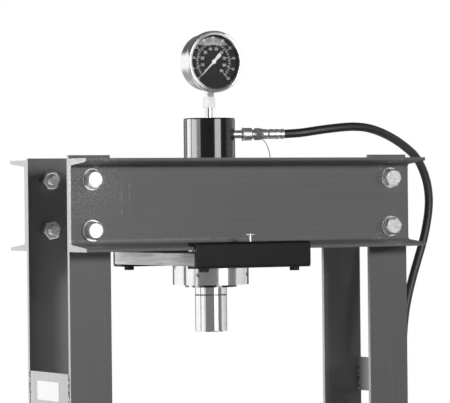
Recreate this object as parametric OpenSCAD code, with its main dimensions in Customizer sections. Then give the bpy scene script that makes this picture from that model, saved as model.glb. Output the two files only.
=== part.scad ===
// Hand-pumped workshop press: H frame of flat bars and channels, sliding head carriage,
// spring-return hydraulic cylinder with a gauge, pinned bed and a lever pump.
// Millimetres, +Z up, origin on the floor midway between the columns.

/* [Frame] */
// Clear width between the columns
clear_w = 530; // [480:5:650]
// Width of a post bar
post_w = 80; // [70:1:100]
// Thickness of a post bar
post_t = 7; // [6:0.5:10]
// Depth over the front and rear posts
column_depth = 165; // [155:1:190]
// Height of the head channels' underside above the floor
head_z = 1400; // [1380:5:1500]
// Rise of the front posts above the head channels
post_rise = 6; // [2:1:20]
// Rise of the rear posts above the head channels
rear_rise = 3; // [2:1:20]
// Thickness of a tie plate
tie_t = 6; // [5:0.5:10]
// Height of the upper tie plates
tie_h = 62; // [50:1:80]
// Drop of the upper tie plates below the head channels
tie_drop = 210; // [190:5:240]

/* [Channels] */
// Height of a channel
channel_h = 160; // [150:1:180]
// Width of a channel's flange
channel_b = 65; // [60:1:75]
// Thickness of a channel's web
channel_web = 7.5; // [6:0.5:10]
// Thickness of a flange at its tip
flange_tip = 6; // [5:0.5:8]
// Thickness of a flange at the web
flange_root = 12; // [10:0.5:12.5]
// Radius between web and flange
flange_fillet = 5; // [3:0.5:6]

/* [Head fasteners] */
// Thread diameter of the head and bed bolts
bolt_d = 20; // [16:1:22]
// Distance of a head bolt from the channel's edge
bolt_edge = 36; // [34:1:45]
// Diameter of a head washer
washer_d = 37; // [34:1:42]
// Thickness of a head washer
washer_t = 3; // [2:0.5:4]
// Bolt end that shows past its nut
bolt_show = 10; // [4:1:16]

/* [Base] */
// Leg width of a foot angle
foot_leg = 80; // [70:1:100]
// Thickness of a foot angle
foot_t = 8; // [6:0.5:10]
// Front-to-back length of a foot
foot_l = 620; // [560:10:800]
// Diameter of a floor anchor hole
anchor_d = 14; // [12:0.5:18]
// Distance of an anchor hole from the foot's end
anchor_end = 40; // [30:1:60]
// Height of the lower tie plates
base_tie_h = 80; // [70:1:100]
// Leg width of the cross bar
cross_leg = 60; // [50:1:70]
// Thickness of the cross bar
cross_t = 6; // [5:0.5:8]
// Height of the cross bar's underside above the floor
cross_z = 130; // [110:5:180]
// Thread diameter of the base bolts
base_bolt_d = 12; // [10:1:14]

/* [Bed] */
// Diameter of a bed pin
pin_d = 28; // [24:1:32]
// Height of the lowest pin hole
pin_first = 256; // [240:1:280]
// Distance between pin holes
pin_step = 110; // [100:1:112]
// Number of pin holes in a post
pin_count = 8; // [6:1:8]
// Pin hole that carries the bed, counted from 0
pin_used = 3; // [2:1:4]
// Distance of the bed bolts from the middle
bed_bolt_x = 215; // [190:1:225]
// Outer diameter of a bed spacer tube
spacer_d = 38; // [34:1:44]
// Width of a press plate
plate_w = 85; // [70:1:110]
// Length of a press plate
plate_l = 260; // [240:5:290]
// Height of a press plate
plate_h = 45; // [30:1:60]
// Depth of the V in a press plate
plate_v = 28; // [15:1:35]
// Gap between the press plates
plate_gap = 50; // [30:1:90]

/* [Carriage] */
// Carriage place along the head channels
carriage_x = -20; // [-60:1:60]
// Length of the carriage
carriage_l = 232; // [200:1:260]
// Thickness of the slide plate
slide_t = 22; // [18:1:28]
// Gap between slide plate and flanges
slide_gap = 6; // [3:0.5:8]
// Sheet thickness of a hook strap
hook_t = 4.5; // [3:0.5:6]
// Reach of the hook's lip over the flange
hook_over = 22; // [16:1:28]
// Depth of the hook's lip under the plate
hook_under = 26; // [24:1:40]
// Thread diameter of the hook bolts
hook_bolt_d = 10; // [8:1:12]
// Distance of a hook bolt from the carriage's end
hook_bolt_end = 24; // [18:1:40]
// Stem diameter of the lock screw
lock_d = 6; // [5:0.5:8]
// Length of the lock screw's T bar
lock_bar = 17; // [14:1:30]
// Rise of the lock screw's T bar above the hook
lock_rise = 14; // [10:1:25]

/* [Cylinder] */
// Outer diameter of the cylinder barrel
barrel_d = 92; // [88:1:98]
// Bore of the cylinder barrel
bore_d = 70; // [68:0.5:74]
// Rise of the barrel above the head channels' underside
barrel_rise = 233; // [225:1:250]
// Thickness of the barrel's closed end
barrel_end = 20; // [15:1:22]
// Rounding of the barrel's top edge
barrel_round = 3; // [1:0.5:5]
// Outer diameter of the ring nut
ring_d = 136; // [120:1:150]
// Height of the ring nut
ring_h = 36.5; // [30:0.5:42]
// Diameter of a spanner hole in the ring nut
ring_hole_d = 7; // [5:0.5:9]
// Barrel end that shows below the ring nut
barrel_show = 4.5; // [2:0.5:10]
// Diameter of the ram
ram_d = 57; // [50:0.5:58]
// Drop of the ram's cap joint below the barrel
cap_drop = 13.5; // [8:0.5:20]
// Height of the ram cap
cap_h = 66; // [40:1:80]
// Height of the piston
piston_h = 30; // [24:1:36]
// Length of the rod guide
guide_h = 30; // [24:1:36]
// Wire diameter of the return spring
wire_d = 4.5; // [3.5:0.1:4.8]
// Turns of the return spring
spring_turns = 9; // [6:1:9]

/* [Gauge] */
// Outer diameter of the gauge bezel
bezel_d = 110; // [100:1:120]
// Depth of the gauge bezel
bezel_l = 14; // [12:0.5:18]
// Clear diameter of the bezel's opening
window_d = 96; // [86:0.5:98]
// Outer diameter of the gauge case
case_d = 101; // [98:0.5:106]
// Depth of the gauge from bezel front to case back
gauge_l = 40; // [38:1:50]
// Distance of the bezel's front from the cylinder axis
gauge_front = 27; // [24:1:32]
// Length of the needle from its hub
needle_l = 34; // [28:1:38]
// Height of the gauge adapter's neck above the barrel
neck_h = 19; // [12:1:30]
// Width over flats of the gauge adapter
adapter_af = 22; // [19:1:27]
// Height of the gauge adapter's hexagon
adapter_h = 19; // [14:1:24]
// Width of the gauge socket
socket_w = 13; // [12.5:0.5:16]
// Socket length that shows below the gauge case
socket_show = 12; // [8:0.5:20]

/* [Coupler] */
// Drop of the oil port below the barrel's top
port_drop = 29; // [24:1:34]
// Turn of the oil port towards the front, in degrees
port_turn = 20; // [0:1:30]
// Diameter of the port nipple
nipple_d = 14.4; // [12:0.2:16]
// Port nipple length that shows
nipple_show = 14; // [10:1:25]
// Diameter of the coupler sleeve
sleeve_d = 24.6; // [22:0.2:28]
// Length of the coupler sleeve
sleeve_l = 18; // [14:1:30]
// Width over flats of the coupler body
coupler_af = 22; // [19:1:24]
// Length of the coupler body's hexagon
coupler_l = 14.5; // [10:0.5:25]
// Length of the coupler body's neck
neck_l = 4; // [4:0.5:12]
// Neck diameter of the coupler body
neck_d = 13; // [11:0.5:15]
// Diameter of the hose ferrule
ferrule_d = 18; // [16:0.5:22]
// Length of the hose ferrule
ferrule_l = 39.5; // [30:0.5:48]
// Outer diameter of the hose
hose_d = 15.5; // [12:0.5:17]

/* [Pump] */
// Height of the oil tank's underside above the floor
tank_z = 700; // [680:5:710]
// Sideways width of the oil tank
tank_x = 120; // [110:1:160]
// Depth of the oil tank
tank_y = 165; // [155:1:190]
// Height of the oil tank
tank_h = 180; // [170:5:185]
// Sheet thickness of the oil tank
tank_t = 3; // [2:0.5:5]
// Corner radius of the oil tank
tank_r = 10; // [4:1:20]
// Height of the pump block
block_h = 55; // [50:1:65]
// Diameter of the plunger
plunger_d = 16; // [12:0.5:18]
// Distance from lever pin to plunger
lever_arm = 35; // [32:1:40]
// Diameter of the lever pin
lever_pin_d = 12; // [10:0.5:13]
// Width of the pump lever
lever_w = 22; // [20:1:24]
// Height of the pump lever
lever_h = 28; // [26:1:32]
// Outer diameter of the handle tube
handle_d = 27; // [22:1:30]
// Length of the handle tube outside the lever
handle_l = 560; // [400:10:600]
// Length of the handle grip
grip_l = 130; // [90:5:160]
// Diameter of the handle grip
grip_d = 34; // [31:0.5:40]
// Diameter of the release valve's knob
knob_d = 34; // [26:1:40]
// Length of the release valve's knob
knob_l = 20; // [14:1:30]

/* [Clearances] */
// Radial gap of a turning or sliding shaft
run_fit = 0.05; // [0.03:0.01:0.08]
// Radial gap of a fastener in its clearance hole
bolt_fit = 0.5; // [0.3:0.1:0.8]
// Gap between pieces that slide past each other
slide_fit = 0.3; // [0.3:0.05:0.6]
// Gap between the bed and the posts
bed_fit = 1; // [0.5:0.1:2]
// Gap between a hook strap and a flange tip
hook_fit = 1.5; // [0.8:0.1:2]

/* [Hidden] */
$fn = 64;
over = 1;

post_x = (clear_w + post_w) / 2;
outer_x = clear_w / 2 + post_w;
face_y = column_depth / 2;
head_top = head_z + channel_h;
frame_l = 2 * outer_x;
gap_y = column_depth - 2 * post_t;
flange_slope = atan((flange_root - flange_tip) / (channel_b - channel_web));
bolt_rows = [bolt_edge, channel_h - bolt_edge];

bolt_af = 1.5 * bolt_d;
bolt_head = 0.63 * bolt_d;
nut_h = 0.8 * bolt_d;
base_af = 1.5 * base_bolt_d;
base_head = 0.63 * base_bolt_d;
base_nut = 0.8 * base_bolt_d;
base_show = 4;

base_tie_lift = 12;
base_tie_z = foot_t + base_tie_lift;
foot_bolt_z = (base_tie_z + foot_leg) / 2;
tie_bolt_side = 30;
foot_bolt_y = gap_y / 2 - tie_bolt_side;
anchor_x = outer_x + foot_t - foot_leg / 2;
anchor_y = foot_l / 2 - anchor_end;
mid_tie_inset = 20;
mid_tie_h = tank_h - 2 * mid_tie_inset;
mid_tie_z = tank_z + mid_tie_inset;
tank_bolt_edge = 25;
tank_bolt_rows = [mid_tie_z + tank_bolt_edge, mid_tie_z + mid_tie_h - tank_bolt_edge];
cross_bolt_x = [post_x - post_w / 4, post_x + post_w / 4];
cross_bolt_z = cross_z + cross_t + (cross_leg - cross_t) / 2;

pin_z = pin_first + pin_used * pin_step;
pin_hole_d = pin_d + 2 * bolt_fit;
bed_z = pin_z + pin_d / 2 + slide_fit;
bed_top = bed_z + channel_h;
bed_y = face_y + bed_fit;
pin_spare = 10;
pin_reach = bed_y + channel_b + pin_spare;
pin_head_rim = 8;
pin_head_d = pin_d + 2 * pin_head_rim;
pin_head_l = 12;

hook_y = face_y + channel_b + hook_fit + hook_t;
hook_inner_r = 1.5;
hook_bend = hook_t + hook_inner_r;
hook_lip = hook_over + hook_fit + hook_t;
slide_top = head_z - slide_gap;
slide_bottom = slide_top - slide_t;
lip_z = head_z + flange_tip + hook_over * tan(flange_slope) + slide_fit;
hook_top = lip_z + hook_t;
hook_bottom = slide_bottom - hook_t;
hook_bolt_y = hook_y - (hook_bend + hook_under) / 2;
hook_bolt_x = carriage_l / 2 - hook_bolt_end;
hook_bolt_roof = 5;
hook_bolt_in = slide_t - hook_bolt_roof;
lock_y = hook_y - hook_lip / 2;
lock_back_off = 1;
lock_tip = lip_z + lock_back_off;

ring_top = slide_bottom;
ring_bottom = ring_top - ring_h;
barrel_bottom = ring_bottom - barrel_show;
barrel_top = head_z + barrel_rise;
bore_top = barrel_top - barrel_end;
port_z = barrel_top - port_drop;
guide_top = barrel_bottom + guide_h;
seal_h = 6;
rod_seal_d = (ram_d + bore_d) / 2;
port_floor = 2;
piston_top = port_z - nipple_d / 2 - port_floor;
piston_bottom = piston_top - piston_h;
piston_d = bore_d - 2 * run_fit;
seal_w = 5;
piston_seal_d = bore_d - 2 * seal_w;
cap_joint = barrel_bottom - cap_drop;
ram_bottom = cap_joint - cap_h;
spigot_d = 30;
piston_roof = 8;
spigot_h = piston_h - piston_roof;
cap_spigot_h = 18;
seam_drop = 54;
seam_z = barrel_top - seam_drop;

adapter_z = barrel_top + neck_h;
socket_z = adapter_z + adapter_h;
gauge_z = socket_z + socket_show + case_d / 2;
case_wall = 2;
case_back = gauge_l - gauge_front;
glass_t = 3;
bezel_lip = 3.5;
glass_front = gauge_front - bezel_lip;
glass_back = glass_front - glass_t;
dial_deep = 4;
dial_front = glass_back - dial_deep;
dial_t = 1;
case_front = glass_back;
inner_d = case_d - 2 * case_wall;
spindle_d = 3;
needle_t = 1;
stem_d = 12;
stem_l = 12;
neck_thread_d = 14;

spot_face = 1.5;
station_face = barrel_d / 2 - spot_face;
station_sleeve = barrel_d / 2 + nipple_show;
station_hex = station_sleeve + sleeve_l + slide_fit;
station_neck = station_hex + coupler_l;
station_ferrule = station_neck + neck_l;
station_hose = station_ferrule + ferrule_l + slide_fit;
nipple_wall = 3;
port_hole_d = nipple_d - 2 * nipple_wall;
strap_w = 3.5;
strap_t = 1.2;

tank_mid_x = outer_x + tank_x / 2;
tank_top = tank_z + tank_h;
tank_back = 8;
block_top = tank_top + block_h;
block_in = 20;
block_out = 10;
block_x0 = outer_x + block_in;
block_x1 = outer_x + tank_x - block_out;
block_y0 = -40;
block_y1 = lever_arm + 15;
lever_side = 25;
lever_x = block_x1 - lever_side;
outlet_side = 40;
outlet_x = outer_x + outlet_side;
pivot_rise = 32;
pivot_z = block_top + pivot_rise;
plunger_floor = 8;
plunger_low = tank_top + plunger_floor + 4;
plunger_neck = pivot_z - lever_h / 2 - 10;
ear_t = 8;
ear_gap = lever_w + 2 * slide_fit;
plunger_pin_d = 8;
tongue_t = 10;
lever_front = -60;
outlet_thread = 14;
outlet_hex_h = 14;
outlet_neck = 8;
outlet_top = block_top + outlet_hex_h + outlet_neck + ferrule_l;
valve_z = tank_top + block_h / 2;
valve_x = (outlet_x + lever_x) / 2;
valve_d = 12;
valve_in = 30;
filler_in = 6;
grip_y = lever_front - handle_l;

// Hose route from ferrule to pump outlet, chosen by hand
hose_end = [outlet_x, 0, outlet_top];
hose_start = [carriage_x + station_hose * cos(port_turn), -station_hose * sin(port_turn), port_z];
hose_points = [
    hose_start,
    [138, -56, 1606], [174, -63, 1611], [210, -66, 1615], [243, -66, 1617], [274, -64, 1615],
    [305, -59, 1608], [336, -53, 1597], [367, -46, 1582], [396, -39, 1563], [416, -32, 1540],
    [430, -26, 1513], [437, -21, 1485], [438, -17, 1459], [435, -13, 1430], [430, -10, 1405],
    [421, -7, 1374], [412, -4, 1343], [403, -2, 1310], [396, 0, 1275], [391, 0, 1235],
    [388, 0, 1190], [386, 0, 1140], [385, 0, 1085], [385, 0, 1035],
    hose_end];

paint = [0.36, 0.36, 0.37];
zinc = [0.8, 0.8, 0.8];
steel = [0.62, 0.62, 0.63];
black = [0.12, 0.12, 0.12];
chrome = [0.86, 0.86, 0.87];
rubber = [0.1, 0.1, 0.1];
ivory = [0.85, 0.85, 0.83];
clear = [0.9, 0.92, 0.93, 0.3];

// Arc of points about a centre
function arc(c, r, a0, a1, n = 6) = [for (i = [0:n]) let (a = a0 + (a1 - a0) * i / n)
    [c[0] + r * cos(a), c[1] + r * sin(a)]];
function unit(v) = v / norm(v);
function flip(points) = [for (i = [len(points) - 1:-1:0]) [points[i][0], -points[i][1]]];

// Round tube swept along a route; ref is a direction that the route never runs along
function ring_at(p, dir, ref, r, sides) = let (a = unit(cross(ref, dir)), b = cross(dir, a))
    [for (k = [0:sides - 1]) p + r * (a * cos(360 * k / sides) + b * sin(360 * k / sides))];
function route_dir(p, i) = unit(p[min(i + 1, len(p) - 1)] - p[max(i - 1, 0)]);
module sweep(points, dirs, ref, d, sides) {
    n = len(points);
    rings = [for (i = [0:n - 1]) each ring_at(points[i], dirs[i], ref, d / 2, sides)];
    walls = [for (i = [0:n - 2], k = [0:sides - 1]) let (m = (k + 1) % sides)
        [i * sides + k, (i + 1) * sides + k, (i + 1) * sides + m, i * sides + m]];
    start = [for (k = [0:sides - 1]) k];
    finish = [for (k = [sides - 1:-1:0]) (n - 1) * sides + k];
    polyhedron(concat(rings), concat(walls, [start], [finish]), convexity = 8);
}

module y_rod(d, y0, y1) {
    translate([0, y1, 0]) rotate([90, 0, 0]) cylinder(d = d, h = y1 - y0);
}
module x_rod(d, x0, x1) {
    translate([x0, 0, 0]) rotate([0, 90, 0]) cylinder(d = d, h = x1 - x0);
}
module hexagon(af, h) {
    cylinder(d = af / cos(30), h = h, $fn = 6);
}
// Hexagon with its corners turned off at the free end
module hex_head(af, h) {
    intersection() {
        hexagon(af, h);
        union() {
            cylinder(d = 2 * af, h = h * 0.8);
            translate([0, 0, h * 0.8]) cylinder(d1 = af / cos(30), d2 = af * 0.95, h = h * 0.2);
        }
    }
}
module rounded_rect(x, y, r) {
    square([x - 2 * r, y], center = true);
    square([x, y - 2 * r], center = true);
    for (i = [-1, 1], j = [-1, 1])
        translate([i * (x / 2 - r), j * (y / 2 - r)]) circle(r = r);
}
// Bolt along +Z with its head's seat at z = 0 and its head below
module bolt(d, af, head, l) {
    cylinder(d = d, h = l);
    rotate([180, 0, 0]) hex_head(af, head);
}
module nut(d, af, h) {
    difference() {
        hex_head(af, h);
        translate([0, 0, -over]) cylinder(d = d + 2 * run_fit, h = h + 2 * over);
    }
}

// Frame
module post(sx, sy) {
    color(paint) difference() {
        translate([sx * post_x - post_w / 2, sy * (face_y - post_t / 2) - post_t / 2, foot_t])
            cube([post_w, post_t, head_top + (sy < 0 ? post_rise : rear_rise) - foot_t]);
        for (z = bolt_rows)
            translate([sx * post_x, 0, head_z + z])
                y_rod(bolt_d + 2 * bolt_fit, sy * face_y - 2 * post_t, sy * face_y + 2 * post_t);
        for (i = [0:pin_count - 1])
            translate([sx * post_x, 0, pin_first + i * pin_step])
                y_rod(pin_hole_d, sy * face_y - 2 * post_t, sy * face_y + 2 * post_t);
        if (sy > 0)
            for (x = cross_bolt_x)
                translate([sx * x, 0, cross_bolt_z])
                    y_rod(base_bolt_d + 2 * bolt_fit, face_y - 2 * post_t, face_y + 2 * post_t);
    }
}
module left_front_post() { post(-1, -1); }
module left_rear_post() { post(-1, 1); }
module right_front_post() { post(1, -1); }
module right_rear_post() { post(1, 1); }

module tie_plate(z, h) {
    translate([outer_x - tie_t, -gap_y / 2, z]) cube([tie_t, gap_y, h]);
}
module tie_plates(tank) {
    tie_plate(head_z - tie_drop - tie_h, tie_h);
    difference() {
        tie_plate(mid_tie_z, mid_tie_h);
        if (tank)
            for (y = [-foot_bolt_y, foot_bolt_y], z = tank_bolt_rows)
                translate([0, y, z]) x_rod(base_bolt_d + 2 * bolt_fit, outer_x - 2 * tie_t, outer_x + tie_t);
    }
    difference() {
        tie_plate(base_tie_z, base_tie_h);
        for (y = [-foot_bolt_y, foot_bolt_y])
            translate([0, y, foot_bolt_z])
                x_rod(base_bolt_d + 2 * bolt_fit, outer_x - 2 * tie_t, outer_x + tie_t);
    }
}
module left_tie_plates() { color(paint) mirror([1, 0, 0]) tie_plates(false); }
module right_tie_plates() { color(paint) tie_plates(true); }

// Half of the channel's section above its middle, web back at 0 and flange towards +u
function flange_line(u) = channel_h / 2 - flange_root + (u - channel_web) * tan(flange_slope);
function channel_half() = let (tip_r = flange_tip / 2, tip_u = channel_b - tip_r,
    fillet_u = channel_web + flange_fillet)
    concat([[0, channel_h / 2], [channel_b, channel_h / 2]],
        arc([tip_u, flange_line(tip_u) + tip_r / cos(flange_slope)], tip_r, 0, flange_slope - 90, 4),
        arc([fillet_u, flange_line(fillet_u) - flange_fillet / cos(flange_slope)], flange_fillet,
            90 + flange_slope, 180, 6));
// Channel along X with its web's back on the XZ plane, flanges towards -Y, underside at z = 0
module channel(holes_x) {
    difference() {
        translate([-frame_l / 2, 0, channel_h / 2]) rotate([90, 0, 90])
            linear_extrude(height = frame_l)
                mirror([1, 0]) polygon(concat(channel_half(), flip(channel_half())));
        for (sx = [-1, 1], z = bolt_rows)
            translate([sx * holes_x, 0, z]) y_rod(bolt_d + 2 * bolt_fit, -2 * channel_web, channel_web);
    }
}
module front_head_channel() { color(paint) translate([0, -face_y, head_z]) channel(post_x); }
module rear_head_channel() { color(paint) mirror([0, 1, 0]) translate([0, -face_y, head_z]) channel(post_x); }

// Places something at each head bolt, with +Z into the frame and z = 0 on the web
module at_head_bolts() {
    for (sx = [-1, 1], sy = [-1, 1], z = bolt_rows)
        translate([sx * post_x, sy * (face_y + channel_web), head_z + z]) rotate([sy * 90, 0, 0]) children();
}
head_grip = channel_web + post_t;
module head_bolts() {
    color(zinc) at_head_bolts() translate([0, 0, -washer_t])
        bolt(bolt_d, bolt_af, bolt_head, washer_t + head_grip + nut_h + bolt_show);
}
module head_washers() {
    color(zinc) at_head_bolts() translate([0, 0, -washer_t]) difference() {
        cylinder(d = washer_d, h = washer_t);
        translate([0, 0, -over]) cylinder(d = bolt_d + 2 * bolt_fit, h = washer_t + 2 * over);
    }
}
module head_nuts() {
    color(zinc) at_head_bolts() translate([0, 0, head_grip]) nut(bolt_d, bolt_af, nut_h);
}

// Base
module foot() {
    difference() {
        translate([0, foot_l / 2, 0]) rotate([90, 0, 0]) linear_extrude(height = foot_l)
            polygon([[outer_x + foot_t, 0], [outer_x + foot_t, foot_leg], [outer_x, foot_leg],
                [outer_x, foot_t], [outer_x + foot_t - foot_leg, foot_t], [outer_x + foot_t - foot_leg, 0]]);
        for (y = [-anchor_y, anchor_y])
            translate([anchor_x, y, -over]) cylinder(d = anchor_d, h = foot_t + 2 * over);
        for (y = [-foot_bolt_y, foot_bolt_y])
            translate([0, y, foot_bolt_z])
                x_rod(base_bolt_d + 2 * bolt_fit, outer_x - over, outer_x + 2 * foot_t);
    }
}
module left_foot() { color(paint) mirror([1, 0, 0]) foot(); }
module right_foot() { color(paint) foot(); }

module cross_bar() {
    color(paint) difference() {
        translate([-outer_x, 0, 0]) rotate([90, 0, 90]) linear_extrude(height = frame_l)
            polygon([[face_y, cross_z], [face_y + cross_leg, cross_z],
                [face_y + cross_leg, cross_z + cross_t], [face_y + cross_t, cross_z + cross_t],
                [face_y + cross_t, cross_z + cross_leg], [face_y, cross_z + cross_leg]]);
        for (sx = [-1, 1], x = cross_bolt_x)
            translate([sx * x, 0, cross_bolt_z])
                y_rod(base_bolt_d + 2 * bolt_fit, face_y - over, face_y + 2 * cross_t);
    }
}
// Places something at each base bolt, with +Z along the bolt and z = 0 under its head
module at_foot_bolts() {
    for (sx = [-1, 1], y = [-foot_bolt_y, foot_bolt_y])
        translate([sx * (outer_x + foot_t), y, foot_bolt_z]) rotate([0, -sx * 90, 0]) children();
}
module at_cross_bolts() {
    for (sx = [-1, 1], x = cross_bolt_x)
        translate([sx * x, face_y + cross_t, cross_bolt_z]) rotate([90, 0, 0]) children();
}
module at_tank_bolts() {
    for (y = [-foot_bolt_y, foot_bolt_y], z = tank_bolt_rows)
        translate([outer_x - tie_t, y, z]) rotate([0, 90, 0]) children();
}
foot_grip = foot_t + tie_t;
cross_grip = cross_t + post_t;
module base_bolts() {
    color(zinc) {
        at_foot_bolts() bolt(base_bolt_d, base_af, base_head, foot_grip + base_nut + base_show);
        at_cross_bolts() bolt(base_bolt_d, base_af, base_head, cross_grip + base_nut + base_show);
        at_tank_bolts() bolt(base_bolt_d, base_af, base_head, tie_t + tank_back - over);
    }
}
module base_nuts() {
    color(zinc) {
        at_foot_bolts() translate([0, 0, foot_grip]) nut(base_bolt_d, base_af, base_nut);
        at_cross_bolts() translate([0, 0, cross_grip]) nut(base_bolt_d, base_af, base_nut);
    }
}

// Bed
module front_bed_channel() { color(paint) translate([0, -bed_y, bed_z]) channel(bed_bolt_x); }
module rear_bed_channel() {
    color(paint) mirror([0, 1, 0]) translate([0, -bed_y, bed_z]) channel(bed_bolt_x);
}
module at_bed_bolts() {
    for (sx = [-1, 1], z = bolt_rows) translate([sx * bed_bolt_x, 0, bed_z + z]) children();
}
module bed_spacers() {
    color(paint) at_bed_bolts() difference() {
        y_rod(spacer_d, -bed_y, bed_y);
        y_rod(bolt_d + 2 * bolt_fit, -bed_y - over, bed_y + over);
    }
}
bed_grip = 2 * (bed_y + channel_web);
module bed_bolts() {
    color(zinc) at_bed_bolts() translate([0, -bed_grip / 2, 0]) rotate([-90, 0, 0])
        bolt(bolt_d, bolt_af, bolt_head, bed_grip + nut_h + bolt_show);
}
module bed_nuts() {
    color(zinc) at_bed_bolts() translate([0, bed_grip / 2, 0]) rotate([-90, 0, 0])
        nut(bolt_d, bolt_af, nut_h);
}
module press_plate() {
    difference() {
        translate([plate_gap / 2, -plate_l / 2, bed_top]) cube([plate_w, plate_l, plate_h]);
        translate([plate_gap / 2, 0, bed_top - over]) rotate([0, 0, 45])
            translate([-plate_v / sqrt(2), -plate_v / sqrt(2), 0])
                cube([plate_v * sqrt(2), plate_v * sqrt(2), plate_h + 2 * over]);
    }
}
module press_plates() {
    color(steel) {
        press_plate();
        mirror([1, 0, 0]) press_plate();
    }
}
module bed_pin(sx) {
    color(zinc) translate([sx * post_x, 0, pin_z]) {
        y_rod(pin_d, -pin_reach, pin_reach);
        y_rod(pin_head_d, -pin_reach - pin_head_l, -pin_reach);
    }
}
module left_bed_pin() { bed_pin(-1); }
module right_bed_pin() { bed_pin(1); }

// Carriage
module on_carriage() { translate([carriage_x, 0, 0]) children(); }
module at_hook_bolts() {
    on_carriage() for (sx = [-1, 1], sy = [-1, 1])
        translate([sx * hook_bolt_x, sy * hook_bolt_y, hook_bottom]) children();
}
module slide_plate() {
    slide_y = 2 * (hook_y - hook_bend);
    color(steel) difference() {
        on_carriage() translate([-carriage_l / 2, -slide_y / 2, slide_bottom])
            cube([carriage_l, slide_y, slide_t]);
        on_carriage() translate([0, 0, slide_bottom - over])
            cylinder(d = barrel_d + 2 * run_fit, h = slide_t + 2 * over);
        at_hook_bolts() cylinder(d = hook_bolt_d + 2 * run_fit, h = hook_t + hook_bolt_in + over);
    }
}
// Hook section: u from its outer face towards the press, then height
function hook_outline() = let (r = hook_bend, q = hook_bend - hook_t) concat(
    [[hook_lip, hook_top]], arc([r, hook_top - r], r, 90, 180), arc([r, hook_bottom + r], r, 180, 270),
    [[hook_under + hook_t, hook_bottom], [hook_under + hook_t, hook_bottom + hook_t]],
    arc([r, hook_bottom + r], q, 270, 180), arc([r, hook_top - r], q, 180, 90),
    [[hook_lip, hook_top - hook_t]]);
module hook(lock) {
    difference() {
        on_carriage() translate([-carriage_l / 2, -hook_y, 0]) rotate([90, 0, 90])
            linear_extrude(height = carriage_l) polygon(hook_outline());
        at_hook_bolts() translate([0, 0, -over])
            cylinder(d = hook_bolt_d + 2 * bolt_fit, h = hook_t + 2 * over);
        if (lock)
            on_carriage() translate([0, -lock_y, lip_z - over])
                cylinder(d = lock_d + 2 * run_fit, h = hook_t + 2 * over);
    }
}
module front_hook() { color(black) hook(true); }
module rear_hook() { color(black) mirror([0, 1, 0]) hook(false); }
module hook_bolts() {
    color(black) at_hook_bolts()
        bolt(hook_bolt_d, 1.7 * hook_bolt_d, 0.65 * hook_bolt_d, hook_t + hook_bolt_in);
}
module lock_screw() {
    bar_d = 0.6 * lock_d;
    color(zinc) on_carriage() translate([0, -lock_y, 0]) {
        translate([0, 0, lock_tip]) cylinder(d = lock_d, h = hook_top + lock_rise - lock_tip);
        translate([0, 0, hook_top + lock_rise - bar_d / 2]) x_rod(bar_d, -lock_bar / 2, lock_bar / 2);
    }
}
module ring_nut() {
    holes = 4;
    first_hole = 221;
    color(steel) on_carriage() difference() {
        translate([0, 0, ring_bottom]) cylinder(d = ring_d, h = ring_h);
        translate([0, 0, ring_bottom - over]) cylinder(d = barrel_d + 2 * run_fit, h = ring_h + 2 * over);
        for (i = [0:holes - 1])
            translate([0, 0, ring_bottom + ring_h / 2]) rotate([0, 0, first_hole + i * 360 / holes])
                x_rod(ring_hole_d, (ring_d + barrel_d) / 4, ring_d);
    }
}

// Cylinder
module at_port() {
    translate([carriage_x, 0, port_z]) rotate([0, 0, -port_turn]) rotate([0, 90, 0]) children();
}
module cylinder_barrel() {
    seam = 1;
    color(black) difference() {
        on_carriage() rotate_extrude() difference() {
            polygon(concat([[0, barrel_bottom], [barrel_d / 2, barrel_bottom]],
                arc([barrel_d / 2 - barrel_round, barrel_top - barrel_round], barrel_round, 0, 90, 5),
                [[0, barrel_top]]));
            translate([0, barrel_bottom - over]) square([bore_d / 2, bore_top - barrel_bottom + over]);
            translate([0, bore_top - over]) square([neck_thread_d / 2 + run_fit, barrel_end + 2 * over]);
            translate([barrel_d / 2 - seam / 2, seam_z]) square([seam, seam]);
        }
        at_port() translate([0, 0, bore_d / 2 - over]) cylinder(d = nipple_d + 2 * run_fit, h = barrel_d / 2);
        at_port() translate([0, 0, station_face]) cylinder(d = sleeve_d, h = barrel_d / 2);
    }
}
module rod_guide() {
    seal_z = barrel_bottom + (guide_h - seal_h) / 2;
    color(steel) on_carriage() difference() {
        translate([0, 0, barrel_bottom]) cylinder(d = bore_d - 2 * run_fit, h = guide_h);
        translate([0, 0, barrel_bottom - over]) cylinder(d = ram_d + 2 * run_fit, h = guide_h + 2 * over);
        translate([0, 0, seal_z]) cylinder(d = rod_seal_d, h = seal_h);
    }
}
module rod_seal() {
    seal_z = barrel_bottom + (guide_h - seal_h) / 2;
    color(rubber) on_carriage() translate([0, 0, seal_z]) difference() {
        cylinder(d = rod_seal_d - 2 * run_fit, h = seal_h);
        translate([0, 0, -over]) cylinder(d = ram_d + 2 * run_fit, h = seal_h + 2 * over);
    }
}
piston_seal_z = piston_bottom + (piston_h - seal_h) / 2;
module piston() {
    color(steel) on_carriage() difference() {
        translate([0, 0, piston_bottom]) cylinder(d = piston_d, h = piston_h);
        translate([0, 0, piston_bottom - over]) cylinder(d = spigot_d + 2 * run_fit, h = spigot_h + over);
        translate([0, 0, piston_seal_z]) difference() {
            cylinder(d = bore_d + over, h = seal_h);
            translate([0, 0, -over]) cylinder(d = piston_seal_d, h = seal_h + 2 * over);
        }
    }
}
module piston_seal() {
    color(rubber) on_carriage() translate([0, 0, piston_seal_z]) difference() {
        cylinder(d = piston_d, h = seal_h);
        translate([0, 0, -over]) cylinder(d = piston_seal_d + 2 * run_fit, h = seal_h + 2 * over);
    }
}
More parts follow.
